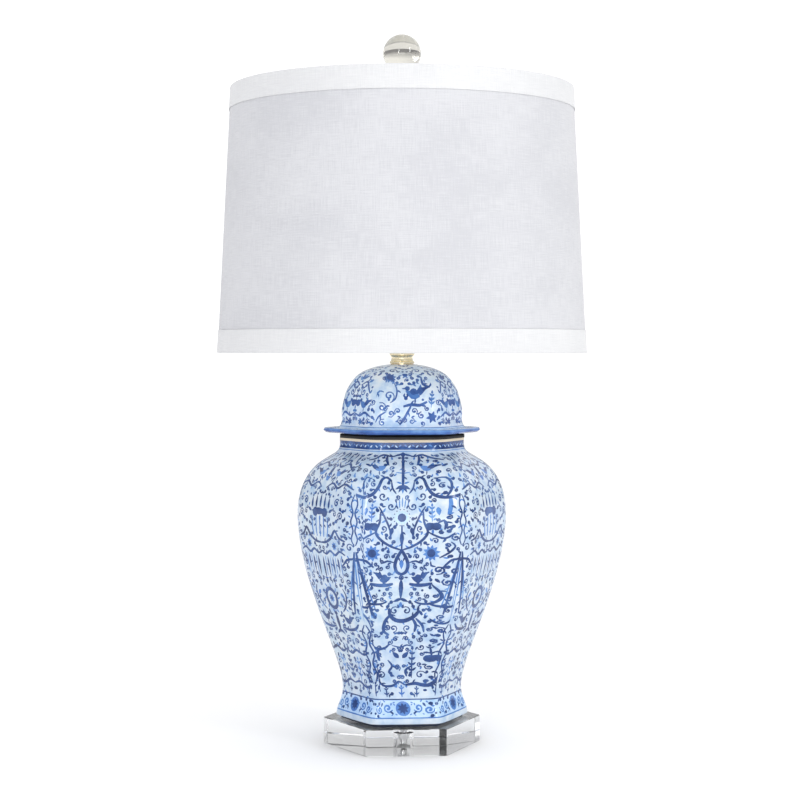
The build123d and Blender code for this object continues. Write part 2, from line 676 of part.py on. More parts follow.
keep(harp, "harp_bow")

for side_name, direction in (("left", -1), ("right", 1)):
    with BuildPart() as ferrule:
        with BuildSketch(Plane.XY.offset(PIN_BOTTOM)):
            with Locations((direction * leg_x, 0)):
                Circle(FERRULE_RADIUS)
                Circle(WIRE_RADIUS + FERRULE_RUN, mode=Mode.SUBTRACT)
        extrude(amount=FERRULE_LENGTH)
        fillet(ferrule.faces().sort_by(Axis.Z)[-1].outer_wire().edges(), radius=1.0)
    keep(ferrule, f"ferrule_{side_name}")

with BuildPart() as stud:
    head_top = EYE_BOTTOM - STUD_GAP
    with BuildSketch(Plane.XY.offset(head_top - RIVET_HEAD_THICKNESS)):
        Circle(RIVET_HEAD_RADIUS)
    extrude(amount=RIVET_HEAD_THICKNESS)
    with BuildSketch(Plane.XY.offset(head_top)):
        Circle(RIVET_RADIUS)
    extrude(amount=STUD_FLANGE_BOTTOM - head_top)
    with BuildSketch(Plane.XY.offset(STUD_FLANGE_BOTTOM)):
        Circle(STUD_FLANGE_RADIUS)
    extrude(amount=STUD_FLANGE_THICKNESS)
    with BuildSketch(Plane.XY.offset(HUB_BOTTOM)):
        Circle(STUD_RADIUS)
    extrude(amount=STUD_LENGTH)
    chamfer(stud.faces().sort_by(Axis.Z)[-1].edges(), length=0.6)
keep(stud, "harp_stud")

# ================================================================ shade
INNER_FACE = FABRIC_THICKNESS + LINER_THICKNESS
CLOTH_BOTTOM = SHADE_BOTTOM + TRIM_THICKNESS
CLOTH_TOP = SHADE_TOP - TRIM_THICKNESS
RING_INSET = INNER_FACE + RING_GAP + RING_WIRE
TOP_RING_LEVEL = CLOTH_TOP - RING_GAP - RING_WIRE
BOTTOM_RING_LEVEL = CLOTH_BOTTOM + RING_GAP + RING_WIRE
TOP_RING_RADIUS = shade_radius(TOP_RING_LEVEL) - RING_INSET
BOTTOM_RING_RADIUS = shade_radius(BOTTOM_RING_LEVEL) - RING_INSET
FLAP_INSET = RING_INSET + RING_WIRE + RING_GAP

with BuildPart() as fabric:
    with BuildSketch(Plane.XZ):
        add(
            half_section(
                (shade_radius(CLOTH_BOTTOM), CLOTH_BOTTOM),
                (shade_radius(CLOTH_TOP), CLOTH_TOP),
                (shade_radius(CLOTH_TOP) - FABRIC_THICKNESS, CLOTH_TOP),
                (shade_radius(CLOTH_BOTTOM) - FABRIC_THICKNESS, CLOTH_BOTTOM),
            )
        )
    revolve(axis=Axis.Z)
keep(fabric, "shade_fabric")

with BuildPart() as shade_liner:
    with BuildSketch(Plane.XZ):
        add(
            half_section(
                (shade_radius(CLOTH_BOTTOM) - FABRIC_THICKNESS, CLOTH_BOTTOM),
                (shade_radius(CLOTH_TOP) - FABRIC_THICKNESS, CLOTH_TOP),
                (shade_radius(CLOTH_TOP) - INNER_FACE, CLOTH_TOP),
                (shade_radius(CLOTH_BOTTOM) - INNER_FACE, CLOTH_BOTTOM),
            )
        )
    revolve(axis=Axis.Z)
keep(shade_liner, "shade_liner")

with BuildPart() as top_ring:
    with Locations((0, 0, TOP_RING_LEVEL)):
        Torus(TOP_RING_RADIUS, RING_WIRE)
keep(top_ring, "shade_top_ring")

with BuildPart() as bottom_ring:
    with Locations((0, 0, BOTTOM_RING_LEVEL)):
        Torus(BOTTOM_RING_RADIUS, RING_WIRE)
keep(bottom_ring, "shade_bottom_ring")

ARM_ANGLES = (90, 210, 330)
HUB_MIDDLE = (HUB_TOP + HUB_BOTTOM) / 2

with BuildPart() as spider:
    for angle in ARM_ANGLES:
        inner_end = Vector(HUB_RADIUS - 2.0, 0, HUB_MIDDLE - HUB_THICKNESS / 4).rotate(Axis.Z, angle)
        outer_end = Vector(TOP_RING_RADIUS, 0, TOP_RING_LEVEL).rotate(Axis.Z, angle)
        arm_axis = outer_end - inner_end
        with BuildSketch(Plane(origin=inner_end, z_dir=arm_axis)):
            Circle(ARM_RADIUS)
        extrude(amount=arm_axis.length)
    with BuildSketch(Plane.XY.offset(HUB_BOTTOM)):
        Circle(HUB_RADIUS)
    extrude(amount=HUB_THICKNESS)
    with BuildSketch(Plane.XY.offset(HUB_BOTTOM - ARM_RADIUS)):
        Circle(STUD_FLANGE_RADIUS + 0.6)
    extrude(amount=ARM_RADIUS, mode=Mode.SUBTRACT)
    with BuildSketch(Plane.XY.offset(HUB_BOTTOM)):
        Circle(STUD_RADIUS + HUB_CLEARANCE)
    extrude(amount=HUB_THICKNESS, mode=Mode.SUBTRACT)
    with BuildSketch(Plane.XY.offset(HUB_TOP)):
        Circle(HUB_RADIUS)
    extrude(amount=ARM_RADIUS, mode=Mode.SUBTRACT)
    with Locations((0, 0, TOP_RING_LEVEL)):
        Torus(TOP_RING_RADIUS, RING_WIRE, mode=Mode.SUBTRACT)
keep(spider, "shade_spider")

with BuildPart() as trim_bottom:
    band_top = SHADE_BOTTOM + TRIM_BAND
    flap_top = SHADE_BOTTOM + TRIM_FLAP
    with BuildSketch(Plane.XZ):
        add(
            half_section(
                (shade_radius(SHADE_BOTTOM) + TRIM_THICKNESS, SHADE_BOTTOM),
                (shade_radius(band_top) + TRIM_THICKNESS, band_top),
                (shade_radius(band_top), band_top),
                (shade_radius(CLOTH_BOTTOM), CLOTH_BOTTOM),
                (shade_radius(CLOTH_BOTTOM) - FLAP_INSET, CLOTH_BOTTOM),
                (shade_radius(flap_top) - FLAP_INSET, flap_top),
                (shade_radius(flap_top) - FLAP_INSET - TRIM_THICKNESS, flap_top),
                (shade_radius(SHADE_BOTTOM) - FLAP_INSET - TRIM_THICKNESS, SHADE_BOTTOM),
            )
        )
    revolve(axis=Axis.Z)
keep(trim_bottom, "shade_trim_bottom")

with BuildPart() as trim_top:
    band_bottom = SHADE_TOP - TRIM_BAND
    flap_bottom = SHADE_TOP - TRIM_FLAP
    with BuildSketch(Plane.XZ):
        add(
            half_section(
                (shade_radius(SHADE_TOP) + TRIM_THICKNESS, SHADE_TOP),
                (shade_radius(band_bottom) + TRIM_THICKNESS, band_bottom),
                (shade_radius(band_bottom), band_bottom),
                (shade_radius(CLOTH_TOP), CLOTH_TOP),
                (shade_radius(CLOTH_TOP) - FLAP_INSET, CLOTH_TOP),
                (shade_radius(flap_bottom) - FLAP_INSET, flap_bottom),
                (shade_radius(flap_bottom) - FLAP_INSET - TRIM_THICKNESS, flap_bottom),
                (shade_radius(SHADE_TOP) - FLAP_INSET - TRIM_THICKNESS, SHADE_TOP),
            )
        )
    revolve(axis=Axis.Z)
    for angle in ARM_ANGLES:
        notch_centre = Vector(TOP_RING_RADIUS - 8.0, 0, TOP_RING_LEVEL).rotate(Axis.Z, angle)
        outward = Vector(1, 0, 0).rotate(Axis.Z, angle)
        with BuildSketch(Plane(origin=notch_centre, z_dir=outward)):
            Circle(ARM_RADIUS + ARM_NOTCH)
        extrude(amount=8.0, mode=Mode.SUBTRACT)
keep(trim_top, "shade_trim_top")

# ================================================================ finial
BALL_CENTRE = FINIAL_BOTTOM + FINIAL_BASE_HEIGHT + math.sqrt(FINIAL_BALL_RADIUS**2 - FINIAL_CUP_RADIUS**2)

with BuildPart() as finial_ball:
    with Locations((0, 0, BALL_CENTRE)):
        Sphere(FINIAL_BALL_RADIUS)
keep(finial_ball, "finial_ball")

with BuildPart() as finial_base:
    cup_bottom = FINIAL_BOTTOM + FINIAL_BASE_HEIGHT
    with BuildSketch(Plane.XZ):
        add(
            half_section(
                (0, FINIAL_BOTTOM),
                (FINIAL_BASE_RADIUS - 0.5, FINIAL_BOTTOM),
                (FINIAL_BASE_RADIUS, FINIAL_BOTTOM + 0.6),
                (FINIAL_BASE_RADIUS, FINIAL_BOTTOM + 2.6),
                (FINIAL_BASE_RADIUS - 1.2, FINIAL_BOTTOM + 3.6),
                (FINIAL_WAIST_RADIUS, FINIAL_BOTTOM + 6.5),
                (FINIAL_WAIST_RADIUS, cup_bottom - 5.5),
                (FINIAL_CUP_RADIUS - 0.6, cup_bottom - 3.6),
                (FINIAL_CUP_RADIUS + 0.4, cup_bottom - 1.0),
                (FINIAL_CUP_RADIUS, cup_bottom),
                (0, cup_bottom),
            )
        )
    revolve(axis=Axis.Z)
    with Locations((0, 0, BALL_CENTRE)):
        Sphere(FINIAL_BALL_RADIUS, mode=Mode.SUBTRACT)
    with BuildSketch(Plane.XY.offset(FINIAL_BOTTOM)):
        Circle(FINIAL_BORE)
    extrude(amount=FINIAL_BORE_DEPTH, mode=Mode.SUBTRACT)
keep(finial_base, "finial_base")
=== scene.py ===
"""Looks of the table lamp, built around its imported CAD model. Metres, in the CAD frame."""

import math

import bmesh
import bpy
import numpy as np
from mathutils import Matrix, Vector, geometry


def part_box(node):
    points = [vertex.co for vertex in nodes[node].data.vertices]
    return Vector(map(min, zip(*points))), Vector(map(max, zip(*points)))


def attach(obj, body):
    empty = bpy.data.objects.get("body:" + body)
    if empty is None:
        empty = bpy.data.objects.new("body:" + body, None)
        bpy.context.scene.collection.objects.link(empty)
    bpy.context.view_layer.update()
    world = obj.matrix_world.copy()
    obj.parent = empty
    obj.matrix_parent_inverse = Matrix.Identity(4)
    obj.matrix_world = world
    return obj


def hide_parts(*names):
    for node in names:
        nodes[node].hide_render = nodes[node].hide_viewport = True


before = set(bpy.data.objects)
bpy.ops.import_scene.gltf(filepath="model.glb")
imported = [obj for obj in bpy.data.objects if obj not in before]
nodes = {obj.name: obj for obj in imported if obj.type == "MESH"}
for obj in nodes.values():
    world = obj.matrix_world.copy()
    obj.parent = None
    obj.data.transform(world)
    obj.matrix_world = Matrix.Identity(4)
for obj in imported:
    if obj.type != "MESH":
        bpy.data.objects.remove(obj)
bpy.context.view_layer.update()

MM = 0.001
JAR_LOW, JAR_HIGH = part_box("jar_body")
LID_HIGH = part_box("jar_lid")[1]
SHADE_LOW, SHADE_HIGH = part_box("shade_trim_bottom")[0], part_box("shade_trim_top")[1]
PIPE_HOLE = 5.1  # radius in millimetres, through the jar's floor and the lid's crown
GROMMET_HOLE = 5.6
GROMMET_RECESS = 0.0046


def placed(name, data):
    """A new object in the scene that holds the data."""
    piece = bpy.data.objects.new(name, data)
    bpy.context.scene.collection.objects.link(piece)
    return piece


# ---------------------------------------------------------------- material helpers
def new_material(name):
    """A material with an empty node tree, its Principled shader and its output."""
    material = bpy.data.materials.new(name)
    material.use_nodes = True
    tree = material.node_tree
    tree.nodes.clear()
    shader = tree.nodes.new("ShaderNodeBsdfPrincipled")
    output = tree.nodes.new("ShaderNodeOutputMaterial")
    tree.links.new(shader.outputs[0], output.inputs["Surface"])
    return material, tree, shader


def feed(tree, value, socket):
    """Links a node's output to a socket, or sets the socket to a plain value."""
    if isinstance(value, bpy.types.NodeSocket):
        tree.links.new(value, socket)
    else:
        socket.default_value = value


def put(tree, kind, **inputs):
    """A node of that kind. Keys are socket names with _ for a space; a socket value is a link."""
    node = tree.nodes.new(kind)
    for key, value in inputs.items():
        feed(tree, value, node.inputs[key.replace("_", " ")])
    return node


def maths(tree, operation, first, second):
    node = tree.nodes.new("ShaderNodeMath")
    node.operation = operation
    feed(tree, first, node.inputs[0])
    feed(tree, second, node.inputs[1])
    return node.outputs[0]


def multiplied(tree, first, second):
    """Two colours multiplied. Sockets 6 and 7 of a Mix node are its colours A and B."""
    node = tree.nodes.new("ShaderNodeMix")
    node.data_type = "RGBA"
    node.blend_type = "MULTIPLY"
    node.inputs["Factor"].default_value = 1.0
    tree.links.new(first, node.inputs[6])
    tree.links.new(second, node.inputs[7])
    return node.outputs[2]


def object_coordinates(tree, scale=(1, 1, 1)):
    coordinates = tree.nodes.new("ShaderNodeTexCoord")
    mapping = tree.nodes.new("ShaderNodeMapping")
    mapping.inputs["Scale"].default_value = scale
    tree.links.new(coordinates.outputs["Object"], mapping.inputs["Vector"])
    return mapping.outputs["Vector"]


def noise(tree, vector, scale, detail=3.0, roughness=0.5):
    node = put(tree, "ShaderNodeTexNoise", Vector=vector, Scale=scale, Detail=detail, Roughness=roughness)
    return node.outputs["Fac"]


def ramp(tree, factor, stops):
    """A colour ramp through (position, colour) stops."""
    node = tree.nodes.new("ShaderNodeValToRGB")
    tree.links.new(factor, node.inputs["Fac"])
    elements = node.color_ramp.elements
    while len(elements) < len(stops):
        elements.new(0.5)
    for element, (position, colour) in zip(elements, stops):
        element.position = position
        element.color = (*colour, 1.0)
    return node.outputs["Color"]


def remap(tree, value, low, high, from_low=0.0, from_high=1.0):
    node = tree.nodes.new("ShaderNodeMapRange")
    tree.links.new(value, node.inputs["Value"])
    node.inputs["From Min"].default_value = from_low
    node.inputs["From Max"].default_value = from_high
    node.inputs["To Min"].default_value = low
    node.inputs["To Max"].default_value = high
    return node.outputs["Result"]


def bump(tree, height, strength, distance):
    return put(tree, "ShaderNodeBump", Height=height, Strength=strength, Distance=distance).outputs["Normal"]


# ---------------------------------------------------------------- metals, plastics, glass
def metal(name, colour, tint, roughness, streak=(40, 40, 900), wear=0.08):
    """A metal with fine drawn streaks and slight tarnish."""
    material, tree, shader = new_material(name)
    fine = noise(tree, object_coordinates(tree, streak), 1.0, 4.0)
    broad = noise(tree, object_coordinates(tree), 90.0, 3.0)
    tree.links.new(ramp(tree, broad, [(0.35, tint), (0.65, colour)]), shader.inputs["Base Color"])
    shader.inputs["Metallic"].default_value = 1.0
    tree.links.new(remap(tree, fine, roughness, roughness + wear, 0.3, 0.7), shader.inputs["Roughness"])
    tree.links.new(bump(tree, fine, 0.06, 0.0002), shader.inputs["Normal"])
    return material


def plastic(name, colour, tint, roughness, grain, depth, coat=0.0):
    material, tree, shader = new_material(name)
    fine = noise(tree, object_coordinates(tree), grain, 4.0)
    broad = noise(tree, object_coordinates(tree), 30.0, 2.0)
    tree.links.new(ramp(tree, broad, [(0.3, tint), (0.7, colour)]), shader.inputs["Base Color"])
    tree.links.new(remap(tree, fine, roughness - 0.05, roughness + 0.08, 0.3, 0.7), shader.inputs["Roughness"])
    shader.inputs["Coat Weight"].default_value = coat
    tree.links.new(bump(tree, fine, 0.2, depth), shader.inputs["Normal"])
    return material


def clear(name, colour, ior, roughness, ripple=0.02):
    """A clear solid, with the faint polish marks that real ones show."""
    material, tree, shader = new_material(name)
    marks = noise(tree, object_coordinates(tree), 60.0, 2.0)
    shader.inputs["Base Color"].default_value = (*colour, 1.0)
    shader.inputs["IOR"].default_value = ior
    shader.inputs["Transmission Weight"].default_value = 1.0
    tree.links.new(remap(tree, marks, roughness, roughness + 0.02, 0.4, 0.8), shader.inputs["Roughness"])
    tree.links.new(bump(tree, marks, ripple, 0.0003), shader.inputs["Normal"])
    return material


BRASS = metal("brass_polished", (0.95, 0.85, 0.62), (0.87, 0.75, 0.50), 0.17)
STEEL = metal("steel_zinc", (0.66, 0.66, 0.66), (0.55, 0.55, 0.56), 0.28)
NICKEL = metal("nickel_bright", (0.78, 0.75, 0.71), (0.68, 0.65, 0.62), 0.18)
TUNGSTEN = metal("tungsten_wire", (0.25, 0.25, 0.26), (0.18, 0.18, 0.19), 0.4)
BLACK = plastic("phenolic_black", (0.030, 0.030, 0.032), (0.018, 0.018, 0.020), 0.35, 500, 0.0002)
RUBBER = plastic("rubber_black", (0.028, 0.028, 0.028), (0.018, 0.018, 0.018), 0.6, 900, 0.0003)
PAD = plastic("pad_dark", (0.030, 0.040, 0.075), (0.020, 0.026, 0.050), 0.75, 1200, 0.0004)
CARD = plastic("card_brown", (0.42, 0.31, 0.19), (0.36, 0.26, 0.15), 0.8, 700, 0.0002)
ENAMEL = plastic("enamel_white", (0.86, 0.86, 0.85), (0.80, 0.80, 0.79), 0.3, 250, 0.0001, coat=0.3)
ACRYLIC = clear("acrylic_clear", (0.985, 0.992, 0.995), 1.49, 0.0)
CRYSTAL = clear("crystal_ball", (0.72, 0.70, 0.64), 1.52, 0.0, 0.01)
STEM_GLASS = clear("stem_glass", (0.97, 0.98, 0.98), 1.5, 0.02)
FROSTED = clear("bulb_frosted", (0.96, 0.96, 0.94), 1.45, 0.45)

for material, names in (
    (ACRYLIC, ["acrylic_plinth"]),
    (STEEL, ["plinth_washer", "plinth_nut", "lamp_pipe", "switch_shaft"]),
    (PAD, ["foot_pad"]),
    (RUBBER, ["cord_grommet"]),
    (BRASS, ["lid_washer", "brass_neck", "neck_sleeve", "harp_saddle", "socket_cap", "socket_shell"]),
    (BRASS, ["center_contact", "harp_bow", "ferrule_left", "ferrule_right", "harp_stud", "finial_base"]),
    (CARD, ["socket_liner"]),
    (BLACK, ["switch_body", "switch_knob", "bulb_insulator"]),
    (NICKEL, ["screw_shell", "bulb_contact", "bulb_cap"]),
    (FROSTED, ["bulb_glass"]),
    (STEM_GLASS, ["bulb_stem"]),
    (TUNGSTEN, ["bulb_filament"]),
    (ENAMEL, ["shade_spider", "shade_top_ring", "shade_bottom_ring"]),
    (CRYSTAL, ["finial_ball"]),
):
    for name in names:
        mesh = nodes[name].data
        mesh.materials.clear()
        mesh.materials.append(material)


# ---------------------------------------------------------------- porcelain materials
def glaze(name, deep, light, washed, roughness=0.07, blotch=55.0):
    """Glazed colour that pools and thins like brushed cobalt under a gloss glaze."""
    material, tree, shader = new_material(name)
    vector = object_coordinates(tree)
    pool = noise(tree, vector, blotch, 4.0, 0.6)
    drift = noise(tree, vector, 14.0, 2.0)
    pooled = ramp(tree, pool, [(0.30, deep), (0.52, light), (0.74, washed)])
    drifted = ramp(tree, drift, [(0.35, (0.90, 0.93, 1.0)), (0.65, (1.0, 1.0, 1.0))])
    tree.links.new(multiplied(tree, pooled, drifted), shader.inputs["Base Color"])
    ripple = noise(tree, vector, 35.0, 2.0)
    tree.links.new(remap(tree, ripple, roughness, roughness + 0.06, 0.3, 0.7), shader.inputs["Roughness"])
    shader.inputs["Specular IOR Level"].default_value = 0.42
    tree.links.new(bump(tree, ripple, 0.10, 0.0012), shader.inputs["Normal"])
    return material


WHITE = glaze("glaze_white", (0.37, 0.52, 0.70), (0.56, 0.66, 0.76), (0.70, 0.75, 0.79), blotch=95.0)
# The lid's white and darkest blue are brighter copies of the jar's: painted light that lifts the lid, which sits in
# shadow under the shade.
LID_WHITE_LIT = glaze("glaze_lid_lit", (0.45, 0.63, 0.86), (0.68, 0.80, 0.93), (0.84, 0.89, 0.94), blotch=95.0)
WASH = glaze("cobalt_wash", (0.36, 0.56, 0.84), (0.51, 0.68, 0.88), (0.64, 0.78, 0.91))
MID = glaze("cobalt_mid", (0.045, 0.14, 0.44), (0.09, 0.23, 0.56), (0.19, 0.38, 0.69))
DARK = glaze("cobalt_dark", (0.010, 0.028, 0.11), (0.028, 0.075, 0.24), (0.08, 0.18, 0.43))
LID_DARK_LIT = glaze("cobalt_lid_lit", (0.020, 0.060, 0.24), (0.05, 0.13, 0.40), (0.12, 0.27, 0.60))
BISCUIT = plastic("biscuit_bare", (0.80, 0.72, 0.58), (0.70, 0.61, 0.48), 0.6, 600, 0.0002)
# SHADOW is painted shadow: a near-black that stands for shade in gaps and recesses, not a colour of the porcelain.
SHADOW = plastic("painted_shadow_dark", (0.03, 0.03, 0.03), (0.02, 0.02, 0.02), 0.8, 300, 0.0001)
JAR_GLAZES = [WHITE, WASH, MID, DARK, BISCUIT, SHADOW]
LID_GLAZES = [LID_WHITE_LIT, WASH, MID, LID_DARK_LIT, BISCUIT, SHADOW]
# The last tone is painted shade, the faces given SHADOW: the cord hole's end, the band under the lid's flange, the
# jar's rim top, and the lid's skirt and seat.
PLAIN, PALE, BLUE, INK, BARE, PAINTED_SHADE = range(6)

# ---------------------------------------------------------------- the hexagonal surface
BULGE = 0.018
SIXTH = math.pi / 6
CORNER_HALF = math.pi / 3 + 2 * math.atan(2 * BULGE)
PANEL_ROOM, WIDEST_REACH = 118, 110  # millimetres, a little more than any panel's width and any reach


def smooth_curve(stations, samples):
    """A natural cubic spline through the rows of stations, evenly sampled by chord length."""
    rows = np.array(stations, float)
    chord = np.concatenate([[0], np.cumsum(np.linalg.norm(np.diff(rows[:, :2], axis=0), axis=1))])
    gaps = np.diff(chord)
    count = len(rows)
    matrix = np.zeros((count, count))
    right = np.zeros((count, rows.shape[1]))
    matrix[0, 0] = matrix[-1, -1] = 1
    for i in range(1, count - 1):
        matrix[i, i - 1 : i + 2] = gaps[i - 1], 2 * (gaps[i - 1] + gaps[i]), gaps[i]
        right[i] = 6 * ((rows[i + 1] - rows[i]) / gaps[i] - (rows[i] - rows[i - 1]) / gaps[i - 1])
    bend = np.linalg.solve(matrix, right)
    at = np.linspace(0, chord[-1], samples)
    i = np.clip(np.searchsorted(chord, at, side="right") - 1, 0, count - 2)
    h = gaps[i][:, None]
    a = ((chord[i + 1] - at) / gaps[i])[:, None]
    b = 1 - a
    return a * rows[i] + b * rows[i + 1] + ((a**3 - a) * bend[i] + (b**3 - b) * bend[i + 1]) * h * h / 6


class Hexagon:
    """A tall surface whose level sections are hexagons with curved sides and rounded corners.

    A point on a panel is (across, along): millimetres from the panel's centre line, round the
    section, and millimetres up the panel's own profile."""

    def __init__(self, curve):
        self.z, tip, self.corner = np.array(curve, float).T
        self.reach = tip + self.corner * (1 / math.sin(CORNER_HALF) - 1)
        flat = self.reach * (math.cos(SIXTH) + BULGE)
        steps = np.hypot(np.diff(self.z), np.diff(flat))
        self.along = np.concatenate([[0], np.cumsum(steps)])
        self.length = self.along[-1]

    def up(self, z):
        """How far along the profile a level is."""
        return np.interp(z, self.z, self.along)

    def shape(self, along):
        reach = np.interp(along, self.along, self.reach)
        corner = np.interp(along, self.along, self.corner)
        radius = reach * (0.25 + BULGE**2) / (2 * BULGE)
        back = radius - reach * (math.cos(SIXTH) + BULGE)
        centre = np.sqrt((radius - corner) ** 2 - (back * math.sin(SIXTH)) ** 2) - back * math.cos(SIXTH)
        turn = np.arctan2(centre * math.sin(SIXTH), centre * math.cos(SIXTH) + back)
        return corner, radius, back, centre, turn

    def half(self, along):
        """Half of a panel's width, round the section."""
        corner, radius, _, _, turn = self.shape(along)
        return radius * turn + corner * (SIXTH - turn)

    def point(self, across, along, panel=0):
        """Positions in millimetres, as an array of rows."""
        across, along = np.broadcast_arrays(np.asarray(across, float), np.asarray(along, float))
        corner, radius, back, centre, turn = self.shape(along)
        sign, s = np.sign(across), np.abs(across)
        on_side = s <= radius * turn
        angle = np.where(on_side, s / radius, turn + (s - radius * turn) / corner)
        u = np.where(on_side, radius * np.sin(angle), centre * math.sin(SIXTH) + corner * np.sin(angle))
        v = np.where(on_side, radius * np.cos(angle) - back, centre * math.cos(SIXTH) + corner * np.cos(angle))
        u = u * sign
        c, n = math.cos(panel * 2 * SIXTH), math.sin(panel * 2 * SIXTH)
        z = np.interp(along, self.along, self.z)
        return np.stack([u * c + v * n, u * n - v * c, z], axis=-1)

    def normal(self, across, along, panel=0):
        step = 0.35
        round_it = self.point(across + step, along, panel) - self.point(across - step, along, panel)
        above = np.minimum(along + step, self.length)
        below = np.maximum(along - step, 0)
        upward = self.point(across, above, panel) - self.point(across, below, panel)
        out = np.cross(round_it, upward)
        return out / np.linalg.norm(out, axis=-1, keepdims=True)


def jar_curve():
    """The jar's stations, from its foot up: (level, reach of the rounded corner, corner radius)."""
    foot = JAR_LOW.z / MM
    widest, drawn_height = 101.3, 270.6
    rows = [
        (0, 63.8, 11), (4, 63.3, 11.5), (12.6, 60.35, 13), (22, 57.9, 15.5), (42, 60.1, 19.5), (64, 67.3, 24),
        (92, widest * 0.767, 29), (122, widest * 0.868, 33), (153, widest * 0.951, 36),
        (178, widest * 0.991, 38), (195, widest, 38), (211, widest * 0.983, 38), (225, widest * 0.936, 36),
        (236.5, widest * 0.862, 33), (245, widest * 0.768, 30), (251.5, 66.9, 27), (256.5, 61.2, 25),
        (262, 60.3, 25), (drawn_height, 60.3, 25),
    ]
    top = JAR_HIGH.z / MM - foot
    return smooth_curve([(foot + z * top / drawn_height, tip, corner) for z, tip, corner in rows], 700)


